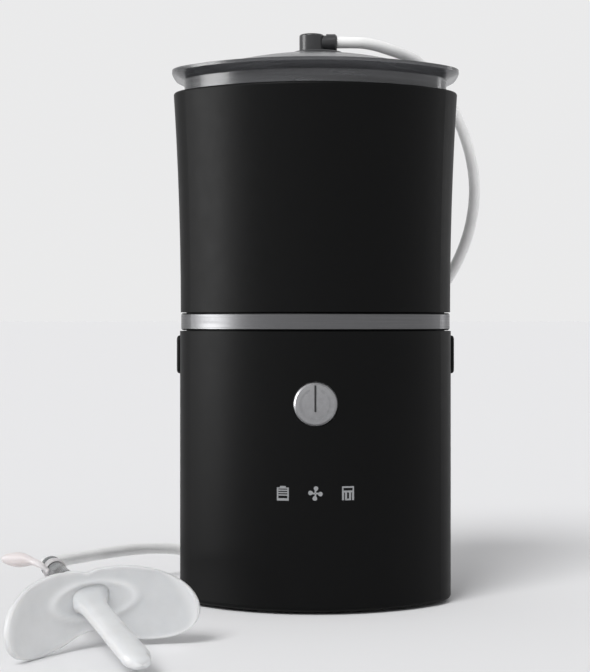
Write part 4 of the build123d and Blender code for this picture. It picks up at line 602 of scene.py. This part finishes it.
@dataclass
class Mouthpiece:
    """Winged lip shield with its tongue paddle, stem and pull tab."""

    silicone: bpy.types.Material
    clear: bpy.types.Material
    tab: bpy.types.Material
    place: Vector = field(default_factory=lambda: mm(-42.9, -60.0, 9.2))
    stem_top: Vector = field(default_factory=lambda: mm(-53.7, -35.0, 11.8))
    yaw: float = 33.0
    roll: float = 2.5
    bend_radius: float = 28.0
    wall: float = 0.7
    rim: float = 1.0
    lobe_height: float = 7.0
    middle_height: float = -0.6
    oval_centre: tuple[float, float] = (0.6, -0.1)
    oval_size: tuple[float, float] = (8.6, 3.5)
    ridge_spread: float = 0.11
    ridge_height: float = 0.55
    root_height: float = 0.9
    top_curl: float = 0.7
    paddle_yaw: float = 26.6
    paddle_pitch: float = 13.0
    paddle_length: float = 30.3
    paddle_width: float = 5.4
    paddle_thickness: float = 3.0
    root_swell: tuple[float, float] = (6.0, 3.6)
    port_reach: float = 0.935
    port_depth: float = 1.1
    tab_thickness: float = 3.0
    tab_middle: float = 0.3
    tab_fade: float = 0.34
    tab_tip: float = 0.05
    tab_flatness: float = 0.97
    arm_radii: tuple[float, float] = (1.05, 0.55)
    ring_radius: float = 2.08
    ring_wall: float = 0.24
    ring_stretch: float = 5.0

    wing = (
        (0.0, 4.9), (4.4, 5.6), (8.8, 5.4), (13.6, 4.1), (16.9, 2.5), (19.0, 0.0), (19.8, -3.2),
        (19.1, -5.9), (17.0, -7.8), (14.5, -8.4), (9.8, -8.2), (5.8, -7.4), (2.8, -6.2), (0.0, -5.6),
    )

    def frame(self) -> Matrix:
        """Give the shield's frame: X to its right wing, Y outwards, Z up."""
        turn = Matrix.Rotation(math.radians(self.yaw), 4, "Z")
        lean = Matrix.Rotation(-math.radians(self.roll), 4, "Y")
        return Matrix.Translation(self.place) @ turn @ lean

    def paddle_frame(self) -> Matrix:
        """Give the paddle's frame: X across, Y back to the stem, Z up."""
        turn = Matrix.Rotation(math.radians(self.paddle_yaw), 4, "Z")
        lean = Matrix.Rotation(math.radians(self.paddle_pitch), 4, "X")
        return Matrix.Translation(self.place) @ turn @ lean

    def reach(self, angle: float) -> float:
        """Give the outline's distance from the shield's middle at an angle."""
        corners_up = [(x, z - self.middle_height) for x, z in self.wing]
        turns = [(math.atan2(z, x), math.hypot(x, z)) for x, z in corners_up]
        if abs(angle) > math.pi / 2:
            angle = math.copysign(math.pi, angle) - angle
        for (above, near), (below, far) in zip(turns, turns[1:]):
            if above >= angle >= below:
                share = (above - angle) / (above - below)
                return near + (far - near) * share
        return turns[-1][1]

    def smooth_reach(self, angle: float) -> float:
        """Give the outline's distance with its corners softened."""
        turns = [math.radians(step) for step in (-7.5, -5.0, -2.5, 0.0, 2.5, 5.0, 7.5)]
        around = [(angle + turn + math.pi) % (2 * math.pi) - math.pi for turn in turns]
        return sum(self.reach(value) for value in around) / len(around)

    def outline(self, u: float, v: float) -> tuple[float, float]:
        """Map a square's point to the two-winged outline, in millimetres."""
        x = u * math.sqrt(1 - v * v / 2)
        z = v * math.sqrt(1 - u * u / 2)
        angle = math.atan2(z * self.lobe_height, x * self.wing[6][0])
        share = math.hypot(x, z)
        reach = self.smooth_reach(angle) * share
        return reach * math.cos(angle), self.middle_height + reach * math.sin(angle)

    def shield(self) -> bpy.types.Object:
        """Make the curved shield with its thick soft rim, with a painted highlight on the rim and the ridge.
        """
        mesh = bmesh.new()
        painted_highlight = mesh.verts.layers.float.new(PAINTED_RIM_HIGHLIGHT)
        layers = []
        for side in (1, -1):
            grid = bmesh.ops.create_grid(mesh, x_segments=64, y_segments=36, size=1.0)["verts"]
            for vert in grid:
                u, v = vert.co.x, vert.co.y
                edge = max(abs(u), abs(v))
                x, z = self.outline(u, v)
                bead_and_highlight = min(max((edge - 0.86) / 0.1, 0), 1)
                aside = (x - self.oval_centre[0]) / self.oval_size[0]
                above = (z - self.oval_centre[1]) / self.oval_size[1]
                oval = math.hypot(aside, above)
                ridge = math.exp(-(((oval - 1) / self.ridge_spread) ** 2))
                root = math.exp(-(oval**4))
                swell = (self.root_height * root + self.ridge_height * ridge) * (1 if side < 0 else 0.3)
                half = (self.wall + (self.rim - self.wall) * bead_and_highlight) / 2 + swell
                # The rim and the ridge round the oval get a painted highlight through the vertex layer.
                vert[painted_highlight] = max(bead_and_highlight, 0.7 * ridge)
                x = max(min(x, self.bend_radius * 0.98), -self.bend_radius * 0.98)
                bow = self.bend_radius - math.sqrt(self.bend_radius**2 - x**2)
                curl = self.top_curl * (z / self.lobe_height) ** 2
                slope = x / self.bend_radius
                normal = Vector((slope, math.sqrt(1 - slope**2), 0))
                vert.co = mm(x, -bow - curl, z) + normal * side * half * MM
            layers.append(grid)
        back = [f for f in mesh.faces if f.verts[0] in set(layers[1])]
        bmesh.ops.reverse_faces(mesh, faces=back)
        rims = [edge for edge in mesh.edges if edge.is_boundary]
        bmesh.ops.bridge_loops(mesh, edges=rims)
        bmesh.ops.transform(mesh, matrix=self.frame(), verts=mesh.verts)
        bmesh.ops.recalc_face_normals(mesh, faces=mesh.faces)
        return link(mesh, "mouth_shield", self.silicone)

    def paddle(self) -> bpy.types.Object:
        """Make the soft flat paddle that lies on the tongue, with its side port and a painted highlight along
        its sides.
        """
        mesh = bmesh.new()
        painted_highlight = mesh.verts.layers.float.new(PAINTED_RIM_HIGHLIGHT)
        rings, sides = 64, 48
        last = None
        for i in range(rings + 1):
            along = i / rings
            reach = 1 - (1 - along) ** 2.2
            tip = max(reach - 0.86, 0) / 0.14
            close = math.sqrt(max(1 - tip**2.6, 0.0004))
            root = math.exp(-reach / 0.05)
            width = (self.paddle_width * (0.9 + 0.1 * reach) + self.root_swell[0] * root) / 2 * close
            depth = (self.paddle_thickness + self.root_swell[1] * root) / 2 * close**0.7
            ring = bmesh.ops.create_circle(mesh, segments=sides, radius=1.0)["verts"]
            for vert in ring:
                x, z = vert.co.x, vert.co.y
                x = math.copysign(abs(x) ** 0.62, x)
                z = math.copysign(abs(z) ** 0.8, z)
                port = math.exp(-(((reach - self.port_reach) / 0.016) ** 2)) * max(x, 0) ** 4
                vert.co = mm(x * width - self.port_depth * port, -self.paddle_length * reach, z * depth)
                # The paddle's sides get a painted highlight through the vertex layer.
                vert[painted_highlight] = max(0.0, abs(x) - 0.86) / 0.14
            edges = list({edge for vert in ring for edge in vert.link_edges if edge.other_vert(vert) in ring})
            if last is not None:
                bmesh.ops.bridge_loops(mesh, edges=last + edges)
            last = edges
        bmesh.ops.holes_fill(mesh, edges=[edge for edge in mesh.edges if edge.is_boundary])
        bmesh.ops.recalc_face_normals(mesh, faces=mesh.faces)
        bmesh.ops.transform(mesh, matrix=self.paddle_frame(), verts=mesh.verts)
        return link(mesh, "mouth_paddle", self.silicone)

    def turned(
        self, name: str, profile: Sequence[tuple[float, float]], finish: bpy.types.Material
    ) -> bpy.types.Object:
        """Spin a profile about the stem's axis.

        Args:
            name: The piece's name.
            profile: Pairs of radius and distance from the shield, in millimetres.
            finish: Its material.

        Returns:
            The closed turned piece.
        """
        axis = (self.stem_top - self.place).normalized()
        frame = Matrix.Translation(self.place) @ axis.to_track_quat("Z", "Y").to_matrix().to_4x4()
        mesh = bmesh.new()
        verts = [mesh.verts.new(mm(r, 0, z)) for r, z in profile]
        for first, second in zip(verts, verts[1:] + verts[:1]):
            mesh.edges.new((first, second))
        turn_round(mesh, 40)
        bmesh.ops.remove_doubles(mesh, verts=mesh.verts, dist=MERGE)
        bmesh.ops.recalc_face_normals(mesh, faces=mesh.faces)
        bmesh.ops.transform(mesh, matrix=frame, verts=mesh.verts)
        return link(mesh, name, finish)

    def boss(self) -> bpy.types.Object:
        """Make the tapered boss on the shield's outside."""
        profile = [
            (1.0, 0.3), (3.6, 0.3), (3.3, 0.9), (2.75, 1.7), (2.45, 3.0), (2.35, 6.0), (2.3, 11.6),
            (2.5, 11.9), (2.55, 12.4), (2.45, 12.9), (2.2, 13.05), (1.93, 13.0), (1.93, 10.0), (1.0, 9.9),
        ]
        return self.turned("mouth_boss", profile, self.silicone)

    def stem(self) -> bpy.types.Object:
        """Make the clear stem with its grip rings and socket."""
        end = (self.stem_top - self.place).length / MM
        wall, grip, collar, socket = 1.88, 2.1, 2.12, 1.38
        profile = [
            (1.0, 10.1), (wall, 10.1), (wall, 14.2), (grip, 14.5), (grip, 15.0), (wall, 15.3),
            (wall, end - 5.6), (wall, end - 1.2), (collar, end - 0.9), (collar, end - 0.2),
            (1.95, end), (socket, end), (1.36, end - 3.0), (1.0, end - 3.1),
        ]
        return self.turned("mouth_stem", profile, self.clear)

    def tab_radius(self, share: float) -> float:
        """Give the tab's radius in metres: an oval that narrows into the arm."""
        if share < self.tab_middle:
            before = (self.tab_middle - share) / self.tab_middle
            return max(self.tab_thickness / 2 * math.sqrt(1 - before**2), self.tab_tip) * MM
        fade = min((share - self.tab_middle) / self.tab_fade, 1)
        root, tip = self.arm_radii
        arm = root + (tip - root) * share
        return (arm + (self.tab_thickness / 2 - arm) * math.cos(math.pi / 2 * fade) ** 2) * MM

    def pull_tab(self) -> bpy.types.Object:
        """Make the soft oval tab with its arm and its ring round the stem."""
        axis = (self.stem_top - self.place).normalized()
        end = (self.stem_top - self.place).length
        ring_middle = self.place + axis * (end - 3.3 * MM)
        left, lean, turn = mm(-64.1, -33.5, 13.1), mm(-59.3, -33.5, 12.6), mm(-56.9, -34.8, 13.5)
        landing = self.place + axis * (end - 6.5 * MM) + mm(-2.0, 0.0, 0.2)
        route = [point.copy() for point in interpolate_bezier(left, lean, turn, landing, 56)]
        mesh = sweep(route, self.tab_radius, 20)
        for vert in mesh.verts:
            vert.co.y = left.y + (vert.co.y - left.y) * self.tab_flatness
        frame = Matrix.Translation(ring_middle) @ axis.to_track_quat("Z", "Y").to_matrix().to_4x4()
        section = Matrix.Translation(mm(self.ring_radius, 0, 0)) @ Matrix.Rotation(math.pi / 2, 4, "X")
        ring = bmesh.new()
        bmesh.ops.create_circle(ring, segments=16, radius=self.ring_wall * MM, matrix=section)
        for vert in ring.verts:
            vert.co.z *= self.ring_stretch
        turn_round(ring, 36)
        bmesh.ops.transform(ring, matrix=frame, verts=ring.verts)
        take_in(mesh, ring)
        bmesh.ops.remove_doubles(mesh, verts=mesh.verts, dist=MERGE)
        holes = [edge for edge in mesh.edges if edge.is_boundary]
        bmesh.ops.holes_fill(mesh, edges=holes)
        bmesh.ops.recalc_face_normals(mesh, faces=mesh.faces)
        return link(mesh, "mouth_tab", self.tab)

    def build(self) -> list[bpy.types.Object]:
        """Make the mouthpiece and return its pieces."""
        shield, paddle, boss = self.shield(), self.paddle(), self.boss()
        stem, tab = self.stem(), self.pull_tab()
        for piece in (shield, paddle, boss):
            ride(piece, Body.CONSOLE)
        ride(stem, Body.CONSOLE)
        ride(tab, Body.CONSOLE)
        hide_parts("lip_shield")
        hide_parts("lip_shield")
        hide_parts("tongue_paddle")
        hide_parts("stem_connector")
        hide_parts("pull_tab")
        return [stem, boss, shield, paddle, tab]


@dataclass
class FrontMarks:
    """Icons and power mark on the console's front, as thin inlays."""

    icon: bpy.types.Material
    ink: bpy.types.Material
    face_radius: float = 36.0
    half_depth: float = 25.5
    icon_height: float = 25.5
    icon_spacing: float = 6.82
    proud: float = 0.05
    button_height: float = 44.1
    mark_length: float = 5.5
    mark_middle: float = 1.2
    mark_width: float = 0.36
    mark_face: float = -26.13
    mark_depth: float = 0.3

    def face(self, x: float) -> float:
        """Give the front surface's Y at an X, in millimetres."""
        return -self.half_depth + self.face_radius - math.sqrt(self.face_radius**2 - x**2)

    def plate(
        self,
        mesh: bmesh.types.BMesh,
        centre: tuple[float, float],
        size: tuple[float, float],
        turn: float = 0.0,
    ) -> None:
        """Add a thin rectangle to the front's layout plane.

        Args:
            mesh: Layout mesh, in millimetres, X right and Y up.
            centre: Middle of the rectangle.
            size: Width and height.
            turn: Turn in degrees.
        """
        matrix = Matrix.Translation((*centre, 0)) @ Matrix.Rotation(math.radians(turn), 4, "Z")
        verts = bmesh.ops.create_grid(mesh, x_segments=4, y_segments=1, size=0.5)["verts"]
        bmesh.ops.scale(mesh, vec=(*size, 1), verts=verts)
        bmesh.ops.transform(mesh, matrix=matrix, verts=verts)

    def lay(self, mesh: bmesh.types.BMesh, name: str, middle: tuple[float, float]) -> bpy.types.Object:
        """Lay a flat layout on the curved front and give it a thickness."""
        for vert in mesh.verts:
            x, z = vert.co.x + middle[0], vert.co.y + middle[1]
            vert.co = mm(x, self.face(x) - self.proud, z)
        bmesh.ops.recalc_face_normals(mesh, faces=mesh.faces)
        for face in mesh.faces:
            if face.normal.y > 0:
                face.normal_flip()
        bmesh.ops.solidify(mesh, geom=mesh.faces[:], thickness=(self.proud + 0.05) * MM)
        piece = link(mesh, name, self.icon, False)
        ride(piece, Body.CONSOLE)
        return piece

    def battery(self) -> None:
        """Lay the battery icon: a cap and a framed stack of bars."""
        mesh = bmesh.new()
        self.plate(mesh, (0, 1.36), (1.2, 0.3))
        self.plate(mesh, (0, 1.08), (2.5, 0.24))
        self.plate(mesh, (-1.1, -0.1), (0.3, 2.1))
        self.plate(mesh, (1.1, -0.1), (0.3, 2.1))
        self.plate(mesh, (0, -1.3), (2.5, 0.5))
        for row in range(3):
            self.plate(mesh, (0, 0.62 - 0.5 * row), (1.9, 0.26))
        self.lay(mesh, "icon_battery", (-self.icon_spacing, self.icon_height))

    def fan(self) -> None:
        """Lay the fan icon: a hub and four blades that widen outwards."""
        mesh = bmesh.new()
        for blade in range(4):
            arm = Matrix.Rotation(math.radians(90.0 * blade), 4, "Z")
            verts = bmesh.ops.create_circle(mesh, cap_ends=True, segments=18, radius=0.5)["verts"]
            for vert in verts:
                vert.co.x *= 0.95 + 0.35 * vert.co.y
            bmesh.ops.transform(mesh, matrix=arm @ Matrix.Translation((0.12, 1.0, 0)), verts=verts)
            neck = bmesh.ops.create_grid(mesh, x_segments=1, y_segments=1, size=0.5)["verts"]
            bmesh.ops.scale(mesh, vec=(0.34, 0.7, 1), verts=neck)
            bmesh.ops.transform(mesh, matrix=arm @ Matrix.Translation((0, 0.42, 0)), verts=neck)
        self.lay(mesh, "icon_fan", (0.0, self.icon_height))

    def tank(self) -> None:
        """Lay the tank icon: a lid bar and a vessel with upright slots."""
        mesh = bmesh.new()
        self.plate(mesh, (0, 1.28), (2.5, 0.34))
        self.plate(mesh, (-1.1, 0.85), (0.3, 0.6))
        self.plate(mesh, (1.1, 0.85), (0.3, 0.6))
        self.plate(mesh, (0, 0.36), (2.5, 0.4))
        for column in (-1.05, -0.42, 0.42, 1.05):
            self.plate(mesh, (column, -0.62), (0.42, 1.66))
        self.plate(mesh, (0, -1.3), (1.2, 0.34))
        self.lay(mesh, "icon_tank", (self.icon_spacing, self.icon_height))

    def power_mark(self) -> None:
        """Fill the upright bar of the button's groove."""
        mesh = bmesh.new()
        bar = bmesh.ops.create_cube(mesh, size=1.0)["verts"]
        bmesh.ops.scale(mesh, vec=(self.mark_width, self.mark_length, self.mark_depth), verts=bar)
        bmesh.ops.translate(mesh, vec=(0, self.mark_middle, 0), verts=bar)
        front = Matrix.Translation(mm(0, self.mark_face, self.button_height))
        upright = front @ Matrix.Rotation(math.pi / 2, 4, "X")
        bmesh.ops.transform(mesh, matrix=upright @ Matrix.Scale(MM, 4), verts=mesh.verts)
        bmesh.ops.recalc_face_normals(mesh, faces=mesh.faces)
        piece = link(mesh, "power_mark", self.ink, False)
        ride(piece, Body.BUTTON)

    def build(self) -> None:
        """Make every mark."""
        self.battery()
        self.fan()
        self.tank()
        self.power_mark()


@dataclass
class Console:
    """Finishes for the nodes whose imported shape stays."""

    nodes: dict[str, bpy.types.Object]

    def finishes(self) -> dict[str, bpy.types.Material]:
        """Make the finishes by name."""
        streak_centre = mm(0, 0, 100)
        made = (
            Moulding("charcoal", Palette.CHARCOAL, Palette.CHARCOAL_WORN, 0.44, specular=0.085),
            Moulding("black_plastic", Palette.BLACK, Palette.CHARCOAL, 0.5),
            Moulding("rubber", Palette.RUBBER, Palette.BLACK, 0.75, 1500.0, 0.00006, 0.4),
            Moulding("white_plastic", Palette.WHITE, Palette.WHITE, 0.4),
            Moulding("circuit_board", Palette.BOARD, Palette.BOARD, 0.35, coat=0.4),
            Moulding("ink", Palette.INK, Palette.BLACK, 0.5),
            Moulding("icon_ink", Palette.ICON, Palette.ICON, 0.5),
            Moulding("grey_plastic", Palette.GREY, Palette.SMOKE, 0.3, specular=0.35),
            Metal("satin_band", Palette.SATIN, 0.33),
            Metal("silver_button", Palette.SILVER, 0.36, (900.0, 900.0, 900.0), 0.1),
            Metal("steel", Palette.STEEL, 0.3, (1200.0, 1200.0, 200.0), 0.08),
            Metal("foil", Palette.FOIL, 0.35, (300.0, 300.0, 300.0), 0.3),
            Clear("smoky_clear", Palette.SMOKE, 0.62, 0.17, (34.0, 34.0, 900.0), streak_centre, 0.1, 1.9),
            Clear(
                "clear_plastic", Palette.CLEAR, 0.6, 0.1, (60.0, 60.0, 60.0), streak_strength=0.0, lift=1.1
            ),
            Clear("light_guide", Palette.WHITE, 0.4, 0.35),
            Silicone("silicone", Palette.SILICONE),
            Silicone("tube_silicone", Palette.TUBE, 0.0, 0.34, 0.0, 0.8, 0.02),
            Silicone("seal_silicone", Palette.WHITE, 0.1, 0.4),
            Silicone("tab_silicone", Palette.TAB, 0.12, 0.38),
            Fibre("felt", Palette.WHITE),
        )
        return {finish.name: finish.build() for finish in made}

    def dress(self, made: dict[str, bpy.types.Material]) -> None:
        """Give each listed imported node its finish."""
        groups = {
            "charcoal": ("lower_housing", "upper_sleeve", "release_button_left", "release_button_right"),
            "black_plastic": (
                "base_cover", "bay_deck", "inner_chassis", "vent_valve", "board_chips",
                "power_switch", "pressure_sensor",
            ),
            "rubber": ("rubber_feet", "port_seal", "motor_mount", "pump_diaphragm"),
            "white_plastic": ("switch_plunger", "pump_head", "pump_valve_cover", "filter_cap", "status_leds"),
            "circuit_board": ("main_board", "charging_board"),
            "satin_band": ("trim_band",),
            "silver_button": ("power_button",),
            "steel": (
                "base_screws", "deck_screws", "board_screws", "pump_motor", "pump_crank", "valve_pin",
                "charging_socket", "release_spring_left", "release_spring_right",
            ),
            "foil": ("battery_pack",),
            "smoky_clear": ("canister_cup", "canister_lid"),
            "light_guide": ("icon_light_guides",),
            "seal_silicone": ("lid_seal", "suction_hose", "vent_hose"),
            "grey_plastic": ("tube_elbow",),
            "felt": ("absorbent_pad", "filter_disc"),
        }
        for finish, names in groups.items():
            for name in names:
                node = self.nodes[name]
                for slot in node.material_slots:
                    slot.material = made[finish]
        LOG.info("%d packed nodes dressed", sum(len(names) for names in groups.values()))


@dataclass
class Studio:
    """Pale floor, soft lamps and the photograph's camera."""

    distance: float = 370.0
    eye_height: float = 61.7
    lens: float = 88.45
    shift_x: float = -0.0304
    shift_y: float = -0.0238
    aim: Vector = field(default_factory=lambda: mm(0, 0, 70))
    floor_half: float = 60.0
    pale: float = 0.85
    left_light: float = 0.62
    right_light: float = 0.54
    sun_spread: float = 28.0

    def floor(self) -> None:
        """Lay a pale floor."""
        tree = Tree("floor")
        tree.set(Base_Color=Palette.FLOOR.value, Roughness=1.0, Specular_IOR_Level=0.0)
        mesh = bmesh.new()
        bmesh.ops.create_grid(mesh, x_segments=1, y_segments=1, size=self.floor_half)
        link(mesh, "floor", tree.material, False)

    def lamp(self, name: str, place: Vector, size: tuple[float, float], power: float) -> None:
        """Hang a soft strip that looks at the console and only makes highlights."""
        data = bpy.data.lights.new(name, "AREA")
        data.shape = "RECTANGLE"
        data.size, data.size_y = size
        data.energy = power
        lamp = bpy.data.objects.new(name, data)
        lamp.location = place
        lamp.visible_diffuse = False
        lamp.rotation_euler = (self.aim - place).to_track_quat("-Z", "Y").to_euler()
        bpy.context.scene.collection.objects.link(lamp)

    def sun(self, source: Vector, strength: float) -> None:
        """Shine a soft sun from a point's direction, even over the whole floor."""
        data = bpy.data.lights.new("sun", "SUN")
        data.energy = strength
        data.angle = math.radians(self.sun_spread)
        lamp = bpy.data.objects.new("sun", data)
        lamp.rotation_euler = source.to_track_quat("Z", "Y").to_euler()
        bpy.context.scene.collection.objects.link(lamp)

    def world(self) -> None:
        """Make a plain world that is pale to the camera, in gloss and through glass."""
        world = bpy.data.worlds.new("studio")
        bpy.context.scene.world = world
        world.use_nodes = True
        nodes, links = world.node_tree.nodes, world.node_tree.links
        background = nodes["Background"]
        ray = nodes.new("ShaderNodeLightPath")
        direction = nodes.new("ShaderNodeTexCoord")
        split = nodes.new("ShaderNodeSeparateXYZ")
        links.new(direction.outputs["Generated"], split.inputs[0])
        across = nodes.new("ShaderNodeMapRange")
        across.inputs["From Min"].default_value = -1.0
        across.inputs["To Min"].default_value = self.left_light
        across.inputs["To Max"].default_value = self.right_light
        links.new(split.outputs["X"], across.inputs["Value"])
        strength = nodes.new("ShaderNodeMix")
        seen = ray.outputs["Is Camera Ray"]
        for kind in ("Is Glossy Ray", "Is Transmission Ray"):
            either = nodes.new("ShaderNodeMath")
            either.operation = "MAXIMUM"
            links.new(seen, either.inputs[0])
            links.new(ray.outputs[kind], either.inputs[1])
            seen = either.outputs[0]
        links.new(seen, strength.inputs[0])
        links.new(across.outputs[0], strength.inputs[2])
        strength.inputs[3].default_value = self.pale
        links.new(strength.outputs[0], background.inputs["Strength"])
        background.inputs["Color"].default_value = (0.97, 0.97, 0.975, 1)

    def camera(self) -> None:
        """Stand the camera where the photograph was taken from."""
        data = bpy.data.cameras.new("camera")
        data.lens = self.lens
        data.sensor_width = 36.0
        data.shift_x = self.shift_x
        data.shift_y = self.shift_y
        data.clip_start = 0.01
        camera = bpy.data.objects.new("camera", data)
        camera.location = mm(0, -self.distance, self.eye_height)
        camera.rotation_euler = (math.pi / 2, 0, 0)
        bpy.context.scene.collection.objects.link(camera)
        bpy.context.scene.camera = camera

    def build(self) -> None:
        """Set up the whole studio."""
        self.camera()
        self.floor()
        self.world()
        self.sun(mm(-360, -640, 760), 1.95)
        self.lamp("left_strip", mm(-518, -112, 130), (0.23, 0.5), 3.7)
        self.lamp("right_strip", mm(485, 185, 130), (0.05, 0.4), 0.4)
        bpy.context.scene.view_settings.view_transform = "Standard"


def main() -> None:
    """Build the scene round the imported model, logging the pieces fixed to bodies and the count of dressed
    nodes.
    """
    logging.basicConfig(level=logging.INFO, format="%(message)s")
    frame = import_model()
    Studio().build()
    console = Console(frame["nodes"])
    made = console.finishes()
    mouthpiece = Mouthpiece(made["silicone"], made["clear_plastic"], made["tab_silicone"])
    SuctionTube(made["tube_silicone"]).build(mouthpiece.build())
    console.dress(made)
    FrontMarks(made["icon_ink"], made["ink"]).build()


if __name__ == "__main__":
    main()
